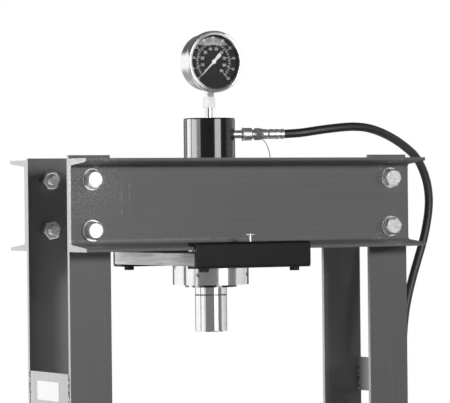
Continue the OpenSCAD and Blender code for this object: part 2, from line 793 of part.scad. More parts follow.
module return_spring() {
    steps = 14;
    low = guide_top + wire_d / 2 + slide_fit;
    high = piston_bottom - wire_d / 2 - slide_fit;
    r = (bore_d + ram_d) / 4;
    rise = (high - low) / spring_turns;
    n = steps * spring_turns;
    points = [for (i = [0:n]) [r * cos(360 * i / steps), r * sin(360 * i / steps), low + rise * i / steps]];
    dirs = [for (i = [0:n]) unit([-r * sin(360 * i / steps), r * cos(360 * i / steps), rise / (2 * PI)])];
    color(steel) on_carriage() sweep(points, dirs, [0, 0, 1], wire_d, 8);
}
module ram_rod() {
    color(chrome) on_carriage() difference() {
        union() {
            translate([0, 0, cap_joint]) cylinder(d = ram_d, h = piston_bottom - cap_joint);
            translate([0, 0, piston_bottom]) cylinder(d = spigot_d, h = spigot_h);
        }
        translate([0, 0, cap_joint - over]) cylinder(d = spigot_d + 2 * run_fit, h = cap_spigot_h + 2 * over);
    }
}
module ram_cap() {
    edge = 1.5;
    groove = 0.8;
    color(chrome) on_carriage() {
        rotate_extrude() polygon([[0, ram_bottom], [ram_d / 2 - edge, ram_bottom],
            [ram_d / 2, ram_bottom + edge], [ram_d / 2, cap_joint - 2 * groove],
            [ram_d / 2 - groove, cap_joint - groove], [ram_d / 2 - groove, cap_joint], [0, cap_joint]]);
        translate([0, 0, cap_joint]) cylinder(d = spigot_d, h = cap_spigot_h);
    }
}

// Gauge
module gauge_adapter() {
    color(zinc) on_carriage() difference() {
        union() {
            translate([0, 0, bore_top]) cylinder(d = neck_thread_d, h = adapter_z - bore_top);
            translate([0, 0, adapter_z]) hexagon(adapter_af, adapter_h);
        }
        translate([0, 0, socket_z - stem_l - over]) cylinder(d = stem_d + 2 * run_fit, h = stem_l + 2 * over);
    }
}
// Local gauge frame: +Z points out of the dial towards the front, +Y is up, z = 0 on the cylinder axis
module at_gauge() {
    translate([carriage_x, 0, gauge_z]) rotate([90, 0, 0]) children();
}
module gauge_movement() {
    tube_r = 0.3 * case_d;
    tube_d = 7;
    block_top_z = gauge_z - tube_r + tube_d;
    plate_d = 30;
    plate_t = 4;
    plate_z = dial_front - dial_t - plate_t;
    color(steel) {
        on_carriage() {
            translate([0, 0, socket_z - stem_l]) cylinder(d = stem_d, h = stem_l);
            translate([-socket_w / 2, -socket_w / 2, socket_z])
                cube([socket_w, socket_w, block_top_z - socket_z]);
        }
        at_gauge() {
            rotate([0, 0, -90]) rotate_extrude(angle = 250) translate([tube_r, 0]) circle(d = tube_d);
            translate([0, 0, plate_z]) cylinder(d = plate_d, h = plate_t);
            translate([-socket_w / 4, -tube_r, plate_z]) cube([socket_w / 2, tube_r, plate_t]);
            translate([-socket_w / 4, -tube_r - tube_d / 2, 0])
                cube([socket_w / 2, tube_d, plate_z + plate_t]);
            cylinder(d = spindle_d, h = glass_back - slide_fit);
        }
    }
}
module gauge_case() {
    color(chrome) difference() {
        at_gauge() translate([0, 0, -case_back]) cylinder(d = case_d, h = case_back + case_front);
        at_gauge() translate([0, 0, case_wall - case_back]) cylinder(d = inner_d, h = gauge_l);
        on_carriage() translate([-socket_w / 2 - run_fit, -socket_w / 2 - run_fit, socket_z])
            cube([socket_w + 2 * run_fit, socket_w + 2 * run_fit, case_d / 2]);
    }
}
module gauge_bezel() {
    edge = 3;
    color(chrome) at_gauge() rotate_extrude() polygon(concat(
        [[case_d / 2 + run_fit, gauge_front - bezel_l], [bezel_d / 2, gauge_front - bezel_l]],
        arc([bezel_d / 2 - edge, gauge_front - edge], edge, 0, 90, 5),
        [[window_d / 2 + 2, gauge_front], [window_d / 2, gauge_front - bezel_lip],
        [case_d / 2 + run_fit, gauge_front - bezel_lip]]));
}
module gauge_dial() {
    color(black) at_gauge() translate([0, 0, dial_front - dial_t]) difference() {
        cylinder(d = inner_d - 2 * run_fit, h = dial_t);
        translate([0, 0, -over]) cylinder(d = spindle_d + 2 * slide_fit, h = dial_t + 2 * over);
    }
}
module gauge_window() {
    color(clear) at_gauge() translate([0, 0, glass_back]) cylinder(d = case_d, h = glass_t);
}
module gauge_needle() {
    hub_d = 8;
    zero = 225;
    tail_l = 20;
    tail_w = 7;
    root_w = 3;
    tip_w = 1;
    z = dial_front + slide_fit + 1;
    color("white") at_gauge() difference() {
        union() {
            translate([0, 0, z]) rotate([0, 0, zero]) linear_extrude(height = needle_t)
                polygon(concat([[needle_l, -tip_w / 2], [needle_l, tip_w / 2], [0, root_w / 2]],
                    arc([tail_w / 2 - tail_l, 0], tail_w / 2, 90, 270, 8), [[0, -root_w / 2]]));
            translate([0, 0, z]) cylinder(d = hub_d, h = 1.5 * needle_t);
        }
        translate([0, 0, z - over]) cylinder(d = spindle_d + 2 * run_fit, h = 4 * needle_t);
    }
}

// Coupler, along the port's axis from the cylinder outwards
module tube_between(d, bore, from, to) {
    translate([0, 0, from]) difference() {
        cylinder(d = d, h = to - from);
        translate([0, 0, -over]) cylinder(d = bore, h = to - from + 2 * over);
    }
}
module port_nipple() {
    color(zinc) at_port() tube_between(nipple_d, port_hole_d, bore_d / 2 + 2, station_hex);
}
module coupler_sleeve() {
    flare = 2.5;
    waist = 1;
    edge = 2;
    bore = nipple_d / 2 + run_fit;
    color(zinc) at_port() translate([0, 0, station_sleeve]) rotate_extrude()
        polygon([[bore, 0], [sleeve_d / 2, 0], [sleeve_d / 2 - waist, flare],
            [sleeve_d / 2 - waist, sleeve_l - edge], [sleeve_d / 2 - waist - edge, sleeve_l],
            [bore, sleeve_l]]);
}
module coupler_body() {
    color(zinc) at_port() difference() {
        union() {
            translate([0, 0, station_hex]) hexagon(coupler_af, coupler_l);
            translate([0, 0, station_neck]) cylinder(d = neck_d, h = neck_l);
        }
        translate([0, 0, station_hex - over]) cylinder(d = port_hole_d, h = coupler_l + neck_l + 2 * over);
    }
}
module dust_cap() {
    cap_d = sleeve_d;
    cap_l = 22;
    wall = 2;
    loop_d = neck_d + 2 * slide_fit;
    drop = 58;
    station = station_neck + neck_l / 2;
    color(ivory) translate([carriage_x, 0, port_z]) rotate([0, 0, -port_turn]) translate([station, 0, 0]) {
        difference() {
            x_rod(loop_d + 2 * wall, -strap_w / 2, strap_w / 2);
            x_rod(loop_d, -strap_w, strap_w);
        }
        translate([-strap_w / 2, -strap_t / 2, -loop_d / 2 - wall / 2 - drop])
            cube([strap_w, strap_t, drop]);
        translate([0, 0, -loop_d / 2 - drop - cap_l]) difference() {
            cylinder(d = cap_d, h = cap_l);
            translate([0, 0, -over]) cylinder(d = cap_d - 2 * wall, h = cap_l - wall + over);
        }
    }
}
module ferrule_profile(l) {
    nut_l = 0.26 * l;
    groove = 0.8;
    rotate_extrude() polygon([[0, 0], [ferrule_d / 2 - 0.5, 0], [ferrule_d / 2, 1],
        [ferrule_d / 2, nut_l - 2], [ferrule_d / 2 - 2, nut_l], [ferrule_d / 2, nut_l + 2],
        [ferrule_d / 2, 0.5 * l], [ferrule_d / 2 - groove, 0.5 * l + 1],
        [ferrule_d / 2 - groove, 0.6 * l - 1], [ferrule_d / 2, 0.6 * l],
        [ferrule_d / 2, 0.75 * l], [ferrule_d / 2 - groove, 0.75 * l + 1],
        [ferrule_d / 2 - groove, 0.85 * l - 1], [ferrule_d / 2, 0.85 * l],
        [ferrule_d / 2, l - 1], [ferrule_d / 2 - 1, l], [0, l]]);
}
module hose_ferrule() {
    color(zinc) at_port() translate([0, 0, station_ferrule]) ferrule_profile(ferrule_l);
}
module hose() {
    n = len(hose_points);
    dirs = [for (i = [0:n - 1]) i == 0 ? [cos(port_turn), -sin(port_turn), 0]
        : i == n - 1 ? [0, 0, -1] : route_dir(hose_points, i)];
    color(rubber) sweep(hose_points, dirs, [0, 1, 0], hose_d, 12);
}

// Pump
module hose_outlet() {
    color(zinc) translate([outlet_x, 0, 0]) {
        translate([0, 0, block_top - outlet_thread]) cylinder(d = neck_thread_d, h = outlet_thread);
        translate([0, 0, block_top]) hexagon(coupler_af, outlet_hex_h);
        translate([0, 0, block_top + outlet_hex_h]) cylinder(d = neck_d, h = outlet_neck);
        translate([0, 0, outlet_top - ferrule_l]) ferrule_profile(ferrule_l);
    }
}
module oil_tank() {
    color(paint) difference() {
        translate([tank_mid_x, 0, tank_z]) linear_extrude(height = tank_h) union() {
            rounded_rect(tank_x, tank_y, tank_r);
            translate([-tank_x / 2, -tank_y / 2]) square([tank_x / 2, tank_y]);
        }
        translate([outer_x + tank_back, -tank_y / 2 + tank_t, tank_z + tank_t])
            cube([tank_x - tank_back - tank_t, tank_y - 2 * tank_t, tank_h - 2 * tank_t]);
        at_tank_bolts() cylinder(d = base_bolt_d + 2 * run_fit, h = tie_t + tank_back - over);
        filler_place() translate([0, 0, -filler_in])
            cylinder(d = neck_thread_d + 2 * run_fit, h = filler_in + over);
    }
}
module filler_place() {
    translate([outlet_x, block_y1 + 15, tank_top]) children();
}
module filler_plug() {
    plug_af = 19;
    plug_h = 10;
    color(zinc) filler_place() {
        translate([0, 0, -filler_in]) cylinder(d = neck_thread_d, h = filler_in);
        hex_head(plug_af, plug_h);
    }
}
module pump_block() {
    ear_r = lever_pin_d / 2 + 8;
    color(paint) difference() {
        union() {
            translate([block_x0, block_y0, tank_top])
                cube([block_x1 - block_x0, block_y1 - block_y0, block_h]);
            for (s = [-1, 1]) translate([lever_x + s * (ear_gap + ear_t) / 2 - ear_t / 2, lever_arm, 0]) {
                translate([0, -ear_r, block_top]) cube([ear_t, 2 * ear_r, pivot_z - block_top]);
                translate([0, 0, pivot_z]) x_rod(2 * ear_r, 0, ear_t);
            }
        }
        translate([0, lever_arm, pivot_z]) x_rod(lever_pin_d + 2 * run_fit, block_x0, block_x1 + 2 * ear_t);
        translate([lever_x, 0, tank_top + plunger_floor]) cylinder(d = plunger_d + 2 * run_fit, h = block_h);
        translate([outlet_x, 0, block_top - outlet_thread])
            cylinder(d = neck_thread_d + 2 * run_fit, h = outlet_thread + over);
        translate([valve_x, 0, valve_z])
            y_rod(valve_d + 2 * run_fit, block_y0 - over, block_y0 + valve_in + over);
    }
}
module lever_pin() {
    head_t = 4;
    span = ear_gap / 2 + ear_t;
    color(zinc) translate([lever_x, lever_arm, pivot_z]) {
        x_rod(lever_pin_d, -span, span);
        x_rod(lever_pin_d + 6, span, span + head_t);
        x_rod(lever_pin_d + 6, -span - head_t, -span);
    }
}
module plunger() {
    color(chrome) translate([lever_x, 0, 0]) {
        translate([0, 0, plunger_low]) cylinder(d = plunger_d, h = plunger_neck - plunger_low);
        intersection() {
            translate([0, 0, plunger_low]) cylinder(d = plunger_d, h = pivot_z + plunger_pin_d - plunger_low);
            translate([-tongue_t / 2, -plunger_d, plunger_low])
                cube([tongue_t, 2 * plunger_d, pivot_z - plunger_low + 2 * plunger_pin_d]);
        }
        translate([0, 0, pivot_z]) x_rod(plunger_pin_d, -lever_w / 2, lever_w / 2);
    }
}
module pump_lever() {
    pin_play = 2.2;
    slot_y = lever_arm * 0.25;
    color(paint) translate([lever_x, 0, pivot_z]) difference() {
        union() {
            translate([-lever_w / 2, lever_front, -lever_h / 2])
                cube([lever_w, lever_arm - lever_front, lever_h]);
            translate([0, lever_arm, 0]) x_rod(lever_h, -lever_w / 2, lever_w / 2);
            y_rod(handle_d, lever_front - handle_l, lever_front);
        }
        translate([0, lever_arm, 0]) x_rod(lever_pin_d + 2 * run_fit, -lever_w, lever_w);
        translate([-tongue_t / 2 - slide_fit, -plunger_d - slot_y, -lever_h])
            cube([tongue_t + 2 * slide_fit, 2 * plunger_d + slot_y, 2 * lever_h]);
        translate([-lever_w, -slot_y - plunger_pin_d / 2, -plunger_pin_d / 2 - pin_play])
            cube([2 * lever_w, slot_y + plunger_pin_d + pin_play, plunger_pin_d + 2 * pin_play]);
    }
}
module handle_grip() {
    end_t = 4;
    color(rubber) translate([lever_x, 0, pivot_z]) difference() {
        y_rod(grip_d, grip_y - end_t, grip_y - end_t + grip_l);
        y_rod(handle_d + 2 * run_fit, grip_y, grip_y + grip_l);
    }
}
module release_valve() {
    flutes = 8;
    flute_d = 7;
    stand = 12;
    color(black) translate([valve_x, 0, valve_z]) {
        y_rod(valve_d, block_y0 - stand, block_y0 + valve_in);
        difference() {
            y_rod(knob_d, block_y0 - stand - knob_l, block_y0 - stand);
            for (i = [0:flutes - 1]) rotate([0, 360 * i / flutes, 0])
                translate([knob_d / 2 + 1, 0, 0])
                    y_rod(flute_d, block_y0 - stand - knob_l - over, block_y0 - stand + over);
        }
    }
}

left_front_post();
left_rear_post();
right_front_post();
right_rear_post();
left_tie_plates();
right_tie_plates();
front_head_channel();
rear_head_channel();
head_bolts();
head_washers();
head_nuts();
left_foot();
right_foot();
cross_bar();
base_bolts();
base_nuts();
front_bed_channel();
rear_bed_channel();
bed_spacers();
bed_bolts();
bed_nuts();
press_plates();
left_bed_pin();
right_bed_pin();
slide_plate();
front_hook();
rear_hook();
hook_bolts();
ring_nut();
lock_screw();
cylinder_barrel();
rod_guide();
rod_seal();
piston();
piston_seal();
return_spring();
ram_rod();
ram_cap();
gauge_adapter();
gauge_movement();
gauge_case();
gauge_bezel();
gauge_dial();
gauge_window();
gauge_needle();
port_nipple();
coupler_sleeve();
coupler_body();
dust_cap();
hose_ferrule();
hose();
hose_outlet();
oil_tank();
filler_plug();
pump_block();
plunger();
lever_pin();
pump_lever();
handle_grip();
release_valve();
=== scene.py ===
import random
from math import asin, cos, pi, radians, sin

import bmesh
import bpy
from mathutils import Matrix, Vector


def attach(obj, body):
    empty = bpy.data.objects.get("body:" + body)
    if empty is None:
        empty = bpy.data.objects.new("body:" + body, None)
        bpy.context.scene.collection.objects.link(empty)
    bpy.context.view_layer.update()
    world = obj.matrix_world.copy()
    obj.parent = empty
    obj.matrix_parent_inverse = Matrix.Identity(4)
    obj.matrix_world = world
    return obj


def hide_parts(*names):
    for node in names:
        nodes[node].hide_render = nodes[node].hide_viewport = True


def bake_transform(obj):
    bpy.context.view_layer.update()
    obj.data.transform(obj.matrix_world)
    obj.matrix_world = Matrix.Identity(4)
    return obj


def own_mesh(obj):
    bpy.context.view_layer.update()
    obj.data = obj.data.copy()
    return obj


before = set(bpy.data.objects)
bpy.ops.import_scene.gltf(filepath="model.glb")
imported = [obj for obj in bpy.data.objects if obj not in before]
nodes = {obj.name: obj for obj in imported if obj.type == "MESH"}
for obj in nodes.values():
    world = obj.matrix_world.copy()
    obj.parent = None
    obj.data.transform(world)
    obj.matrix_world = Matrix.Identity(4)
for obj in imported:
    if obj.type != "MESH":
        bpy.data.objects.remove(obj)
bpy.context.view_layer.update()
scene = bpy.context.scene
mm = 0.001
print("frame loaded:", len(nodes), "nodes")

# Camera, at the photograph's viewing angle
viewpoint = {
    "place": (-2.6314, -4.5873, 1.4879),
    "yaw": 29.943,
    "pitch": -0.0466,
    "roll": -0.602,
    "lens": 235.74,
    "sensor": 36,
}


def placeCamera():
    yaw, pitch, roll = (radians(viewpoint[k]) for k in ("yaw", "pitch", "roll"))
    ahead = Vector((sin(yaw) * cos(pitch), cos(yaw) * cos(pitch), sin(pitch)))
    right = Vector((cos(yaw), -sin(yaw), 0))
    up = right.cross(ahead)
    tiltedRight = cos(roll) * right + sin(roll) * up
    tiltedUp = -sin(roll) * right + cos(roll) * up
    camera = bpy.data.objects.new("camera", bpy.data.cameras.new("camera"))
    camera.data.sensor_width = viewpoint["sensor"]
    camera.data.lens = viewpoint["lens"]
    turn = Matrix((tiltedRight, tiltedUp, -ahead)).transposed().to_4x4()
    camera.matrix_world = Matrix.Translation(viewpoint["place"]) @ turn
    scene.collection.objects.link(camera)
    scene.camera = camera


placeCamera()


# Node helpers
def feed(tree, node, inputs):
    for key, value in inputs.items():
        if isinstance(value, bpy.types.NodeSocket):
            tree.links.new(value, node.inputs[key])
        else:
            node.inputs[key].default_value = value


def put(tree, kind, inputs=None, **settings):
    node = tree.nodes.new(kind)
    for key, value in settings.items():
        setattr(node, key, value)
    feed(tree, node, inputs or {})
    return node


def reckon(tree, operation, a, b=0.0, clamp=False):
    return put(tree, "ShaderNodeMath", {0: a, 1: b}, operation=operation, use_clamp=clamp).outputs[0]


def plus(tree, a, b, clamp=False):
    return reckon(tree, "ADD", a, b, clamp)


def minus(tree, a, b):
    return reckon(tree, "SUBTRACT", a, b)


def times(tree, a, b, clamp=False):
    return reckon(tree, "MULTIPLY", a, b, clamp)


def larger(tree, a, b):
    return reckon(tree, "MAXIMUM", a, b)


def remap(tree, value, span, result=(0.0, 1.0)):
    return put(tree, "ShaderNodeMapRange", {
        "Value": value, "From Min": span[0], "From Max": span[1],
        "To Min": result[0], "To Max": result[1]}).outputs[0]


def scaled(tree, vector, factor):
    return put(tree, "ShaderNodeVectorMath", {0: vector, "Scale": factor}, operation="SCALE").outputs[0]


# A mix node's colours are its sockets 6 and 7, and the mixed colour is output 2
def mixColour(tree, factor, a, b):
    return put(tree, "ShaderNodeMix", {0: factor, 6: a, 7: b}, data_type="RGBA").outputs[2]


def noise(tree, place, scale, detail=3.0, rough=0.5):
    return put(tree, "ShaderNodeTexNoise", {
        "Vector": place, "Scale": scale, "Detail": detail, "Roughness": rough}).outputs[0]


def objectPlace(tree):
    return put(tree, "ShaderNodeTexCoord").outputs["Object"]


def newGroup(name, ins, outs):
    tree = bpy.data.node_groups.new(name, "ShaderNodeTree")
    for label, kind, value in ins:
        socket = tree.interface.new_socket(label, in_out="INPUT", socket_type=kind)
        socket.default_value = value
    for label, kind in outs:
        tree.interface.new_socket(label, in_out="OUTPUT", socket_type=kind)
    start = tree.nodes.new("NodeGroupInput")
    end = tree.nodes.new("NodeGroupOutput")
    return tree, start.outputs, end


number, colour, triple = "NodeSocketFloat", "NodeSocketColor", "NodeSocketVector"

# Edge wear: paint rubbed thin where two faces meet
edgeFacts = {"samples": 4, "bend": (0.995, 0.88), "detail": 5.0, "rough": 0.65, "gaps": (0.44, 0.62)}


def makeEdgeWear():
    tree, ins, end = newGroup(
        "edgeWear",
        [("Radius", number, 0.002), ("Amount", number, 0.6), ("Breakup", number, 120.0)],
        [("Mask", number)])
    rounded = put(tree, "ShaderNodeBevel", {"Radius": ins["Radius"]}, samples=edgeFacts["samples"])
    flat = put(tree, "ShaderNodeNewGeometry")
    normals = {0: rounded.outputs[0], 1: flat.outputs["Normal"]}
    same = put(tree, "ShaderNodeVectorMath", normals, operation="DOT_PRODUCT").outputs["Value"]
    broken = noise(tree, objectPlace(tree), ins["Breakup"], edgeFacts["detail"], edgeFacts["rough"])
    mask = times(tree, remap(tree, same, edgeFacts["bend"]), remap(tree, broken, edgeFacts["gaps"]))
    feed(tree, end, {"Mask": times(tree, mask, ins["Amount"], True)})
    return tree


# Sprayed enamel: slow drift of tone, smears in the gloss, orange peel height
sprayFacts = {
    "drift": {"scale": 9.0, "detail": 4.0, "rough": 0.6},
    "smear": {"scale": 38.0, "detail": 5.0, "rough": 0.62},
    "peel": {"detail": 1.5, "rough": 0.4},
    "smearDepth": 0.22,
}


def makeSprayCoat():
    tree, ins, end = newGroup(
        "sprayCoat",
        [("Tone", colour, (0.2, 0.2, 0.2, 1)), ("Drift", number, 0.1), ("Peel", number, 700.0),
         ("Gloss", number, 0.3)],
        [("Color", colour), ("Roughness", number), ("Height", number)])
    place = objectPlace(tree)
    drift = minus(tree, noise(tree, place, **sprayFacts["drift"]), 0.5)
    level = plus(tree, times(tree, drift, ins["Drift"]), 1.0)
    smear = minus(tree, noise(tree, place, **sprayFacts["smear"]), 0.5)
    feed(tree, end, {
        "Color": scaled(tree, ins["Tone"], level),
        "Roughness": plus(tree, ins["Gloss"], times(tree, smear, sprayFacts["smearDepth"])),
        "Height": noise(tree, place, ins["Peel"], **sprayFacts["peel"])})
    return tree


# Small specks in patches, for chips, grit and rust pores
speckFacts = {"patchDetail": 3.0, "patchRough": 0.6, "patchTop": 0.85}


def makeSpecks():
    tree, ins, end = newGroup(
        "specks",
        [("Scale", number, 300.0), ("Size", number, 0.16), ("Patch", number, 14.0), ("Cover", number, 0.5)],
        [("Mask", number)])
    place = objectPlace(tree)
    cell = put(tree, "ShaderNodeTexVoronoi", {"Vector": place, "Scale": ins["Scale"]}).outputs["Distance"]
    dot = reckon(tree, "LESS_THAN", cell, ins["Size"])
    cloud = noise(tree, place, ins["Patch"], speckFacts["patchDetail"], speckFacts["patchRough"])
    patch = remap(tree, cloud, (minus(tree, 1.0, ins["Cover"]), speckFacts["patchTop"]))
    feed(tree, end, {"Mask": times(tree, dot, patch, True)})
    return tree


# Lines drawn out along one direction, for rolled, ground and turned metal
lineFacts = {"scale": 1.0, "detail": 3.0, "rough": 0.55}


def makeDrawnLines():
    tree, ins, end = newGroup(
        "drawnLines",
        [("Stretch", triple, (40.0, 40.0, 1500.0)), ("Contrast", number, 1.0)],
        [("Value", number), ("Height", number)])
    factors = {0: objectPlace(tree), 1: ins["Stretch"]}
    stretched = put(tree, "ShaderNodeVectorMath", factors, operation="MULTIPLY").outputs[0]
    lines = noise(tree, stretched, **lineFacts)
    centred = times(tree, minus(tree, lines, 0.5), ins["Contrast"])
    feed(tree, end, {"Value": plus(tree, centred, 0.5, True), "Height": lines})
    return tree


groups = {
    "edgeWear": makeEdgeWear(),
    "sprayCoat": makeSprayCoat(),
    "specks": makeSpecks(),
    "drawnLines": makeDrawnLines(),
}


def use(tree, name, **inputs):
    return put(tree, "ShaderNodeGroup", inputs, node_tree=groups[name]).outputs


def newMaterial(name):
    material = bpy.data.materials.new(name)
    material.use_nodes = True
    return material, material.node_tree, material.node_tree.nodes["Principled BSDF"]


def bump(tree, height, strength, depth):
    inputs = {"Height": height, "Strength": strength, "Distance": depth}
    return put(tree, "ShaderNodeBump", inputs).outputs[0]


def grey(level):
    return (level, level, level, 1.0)


# Grey frame enamel
paintLook = {
    "tone": 0.30, "primer": 0.66, "gloss": 0.42, "drift": 0.12, "sheen": 0.16,
    "coat": 0.02, "coatRough": 0.12, "wear": {"Radius": 0.0018, "Amount": 0.5, "Breakup": 160.0},
    "chips": {"Scale": 260.0, "Size": 0.13, "Patch": 9.0, "Cover": 0.42},
    "chipStrength": 0.35, "bareRough": 0.2, "lineSpan": (0.25, 0.75), "lineTone": (0.94, 1.06),
    "bump": 0.12, "bumpDepth": 0.0004,
}
upright = (170.0, 170.0, 3.0)
lengthwise = (3.0, 170.0, 260.0)


def makeFramePaint(name, rolled, rubbed=False):
    look = paintLook
    material, tree, shader = newMaterial(name)
    coat = use(tree, "sprayCoat", Tone=grey(look["tone"]), Drift=look["drift"], Gloss=look["gloss"])
    worn = use(tree, "edgeWear", **look["wear"])["Mask"]
    chips = use(tree, "specks", **look["chips"])["Mask"]
    bare = larger(tree, worn, times(tree, chips, look["chipStrength"]))
    if rubbed:
        bare = larger(tree, bare, rubMarks(tree))
    lines = remap(tree, use(tree, "drawnLines", Stretch=rolled)["Value"], look["lineSpan"], look["lineTone"])
    toned = scaled(tree, coat["Color"], lines)
    feed(tree, shader, {
        "Base Color": mixColour(tree, bare, toned, grey(look["primer"])),
        "Roughness": plus(tree, coat["Roughness"], times(tree, bare, look["bareRough"]), True),
        "Specular IOR Level": look["sheen"],
        "Coat Weight": look["coat"],
        "Coat Roughness": look["coatRough"],
        "Normal": bump(tree, coat["Height"], look["bump"], look["bumpDepth"])})
    return material


# Rubs and scuffs that the front channel picked up around its left bolts, in metres
rubs = {
    "halo": (-0.312, 1.522), "haloReach": (0.09, 0.03), "haloStrength": 0.9,
    "grain": {"scale": 300.0, "detail": 4.0, "rough": 0.7}, "grainSpan": (0.49, 0.61),
    "nicks": ((-0.300, 1.549), (0.285, 1.549), (0.285, 1.408)), "nickReach": (0.022, 0.022 / 3),
    "chips": {"scale": 190.0, "detail": 2.0}, "chipSpan": (0.56, 0.62),
    "patches": {"scale": 55.0, "detail": 4.0, "rough": 0.65},
    "scuffs": (-0.247, -0.231), "scuffWidth": (0.0026, 0.0004), "scuffFoot": (1.458, 1.468),
    "scuffHead": (1.522, 1.51), "scuffPatch": (0.42, 0.62), "scuffStrength": 0.7,
    "line": 1.4185, "lineWidth": (0.0028, 0.0005), "linePatch": (0.36, 0.55), "lineStrength": 0.5,
    "lineEnd": (0.03, -0.1),
}


def distance(tree, value, place):
    return reckon(tree, "ABSOLUTE", minus(tree, value, place))


def awayFrom(tree, x, z, spot):
    across = reckon(tree, "POWER", minus(tree, x, spot[0]), 2.0)
    upward = reckon(tree, "POWER", minus(tree, z, spot[1]), 2.0)
    return reckon(tree, "SQRT", plus(tree, across, upward))


def rubMarks(tree):
    place = objectPlace(tree)
    parts = put(tree, "ShaderNodeSeparateXYZ", {0: place}).outputs
    x, z = parts["X"], parts["Z"]
    grain = remap(tree, noise(tree, place, **rubs["grain"]), rubs["grainSpan"])
    halo = times(tree, remap(tree, awayFrom(tree, x, z, rubs["halo"]), rubs["haloReach"]), grain)
    marks = times(tree, halo, rubs["haloStrength"])
    chipped = remap(tree, noise(tree, place, **rubs["chips"]), rubs["chipSpan"])
    for spot in rubs["nicks"]:
        near = remap(tree, awayFrom(tree, x, z, spot), rubs["nickReach"])
        marks = larger(tree, marks, times(tree, near, chipped))
    patches = noise(tree, place, **rubs["patches"])
    tall = times(tree, remap(tree, z, rubs["scuffFoot"]), remap(tree, z, rubs["scuffHead"]))
    for scuffX in rubs["scuffs"]:
        near = remap(tree, distance(tree, x, scuffX), rubs["scuffWidth"])
        scuff = times(tree, times(tree, near, tall), remap(tree, patches, rubs["scuffPatch"]))
        marks = larger(tree, marks, times(tree, scuff, rubs["scuffStrength"]))
    near = remap(tree, distance(tree, z, rubs["line"]), rubs["lineWidth"])
    leftHalf = remap(tree, x, rubs["lineEnd"])
    line = times(tree, times(tree, near, leftHalf), remap(tree, patches, rubs["linePatch"]))
    return larger(tree, marks, times(tree, line, rubs["lineStrength"]))


# Metals: one maker, a dictionary of finishes
metals = {
    "zinc": {"tone": 0.86, "rough": 0.39, "spread": 0.22, "stretch": (260, 260, 260), "bump": 0.05,
             "mottle": 0.55},
    "zincSoft": {"tone": 0.88, "rough": 0.35, "spread": 0.2, "stretch": (300, 300, 300), "bump": 0.03},
    # Darker copy of the zinc for the nuts and the coupler body: painted shade, toned down instead of
    # lighting them less
    "zincShadedCopy": {"tone": 0.72, "rough": 0.36, "spread": 0.2, "stretch": (300, 300, 300), "bump": 0.03},
    "turnedSteel": {"tone": 0.97, "rough": 0.15, "spread": 0.14, "stretch": (900, 900, 10), "bump": 0.06},
    "chrome": {"tone": 0.98, "rough": 0.10, "spread": 0.06, "stretch": (30, 30, 400), "bump": 0.01},
    "polished": {"tone": 0.98, "rough": 0.12, "spread": 0.08, "stretch": (60, 60, 60), "bump": 0.01},
    "polishedHex": {"tone": 0.95, "rough": 0.23, "spread": 0.1, "stretch": (80, 80, 80), "bump": 0.02},
    # Dark metal for the ring that stands for the shade in the ram's joint: painted shade
    "jointShadeDark": {"tone": 0.10, "rough": 0.5, "spread": 0.2, "stretch": (300, 300, 300), "bump": 0.03},
    "springSteel": {"tone": 0.42, "rough": 0.35, "spread": 0.2, "stretch": (200, 200, 200), "bump": 0.03},
}
metalFacts = {
    "smudge": {"scale": 70.0, "detail": 4.0, "rough": 0.6}, "smudgeSpan": (0.3, 0.75), "smudgeTone": 0.9,
    "pits": {"Scale": 280.0, "Size": 0.26, "Patch": 60.0, "Cover": 0.62}, "pitStrength": 3, "pitTone": 0.12,
    "spangle": {"scale": 430.0, "detail": 2.0}, "spangleSpan": (0.5, 0.64),
    "lineShare": 0.6, "smudgeShare": 0.4, "bumpDepth": 0.0002,
}


def makeMetal(name):
    look, facts = metals[name], metalFacts
    material, tree, shader = newMaterial(name)
    lines = use(tree, "drawnLines", Stretch=look["stretch"], Contrast=1.0)
    smudge = noise(tree, objectPlace(tree), **facts["smudge"])
    smudged = remap(tree, smudge, facts["smudgeSpan"])
    tone = mixColour(tree, smudged, grey(look["tone"]), grey(look["tone"] * facts["smudgeTone"]))
    pits = times(tree, use(tree, "specks", **facts["pits"])["Mask"], look["spread"] * facts["pitStrength"])
    tone = mixColour(tree, pits, tone, grey(facts["pitTone"]))
    if "mottle" in look:
        spangle = remap(tree, noise(tree, objectPlace(tree), **facts["spangle"]), facts["spangleSpan"])
        tone = mixColour(tree, times(tree, spangle, look["mottle"]), tone, grey(facts["pitTone"]))
    lined = times(tree, lines["Value"], facts["lineShare"])
    both = plus(tree, lined, times(tree, smudge, facts["smudgeShare"]))
    uneven = times(tree, minus(tree, both, 0.5), look["spread"])
    feed(tree, shader, {
        "Base Color": tone,
        "Metallic": 1.0,
        "Roughness": plus(tree, look["rough"], uneven, True),
        "Normal": bump(tree, lines["Height"], look["bump"], facts["bumpDepth"])})
    return material


# Raw flame-cut and rolled plate, with pores; the press plates take a darker copy, painted shade that keeps
# them from washing out under the lamps
plateLook = {
    "rawPlate": 0.44, "shadedPlateCopy": 0.24, "lowTone": 0.6, "highTone": 1.08, "poreTone": 0.05,
    "lines": {"Stretch": (14.0, 14.0, 420.0), "Contrast": 4.0},
    "pores": {"Scale": 130.0, "Size": 0.2, "Patch": 30.0, "Cover": 0.55},
    "metallic": 0.25, "rough": 0.38, "lineRough": 0.16, "bump": 0.15, "bumpDepth": 0.0004,
}


def makeRawPlate(name):
    look = plateLook
    material, tree, shader = newMaterial(name)
    tone = look[name]
    lines = use(tree, "drawnLines", **look["lines"])
    pores = use(tree, "specks", **look["pores"])["Mask"]
    rolled = mixColour(tree, lines["Value"], grey(tone * look["lowTone"]), grey(tone * look["highTone"]))
    feed(tree, shader, {
        "Base Color": mixColour(tree, pores, rolled, grey(look["poreTone"])),
        "Metallic": look["metallic"],
        "Roughness": plus(tree, times(tree, lines["Value"], look["lineRough"]), look["rough"]),
        "Normal": bump(tree, lines["Height"], look["bump"], look["bumpDepth"])})
    return material


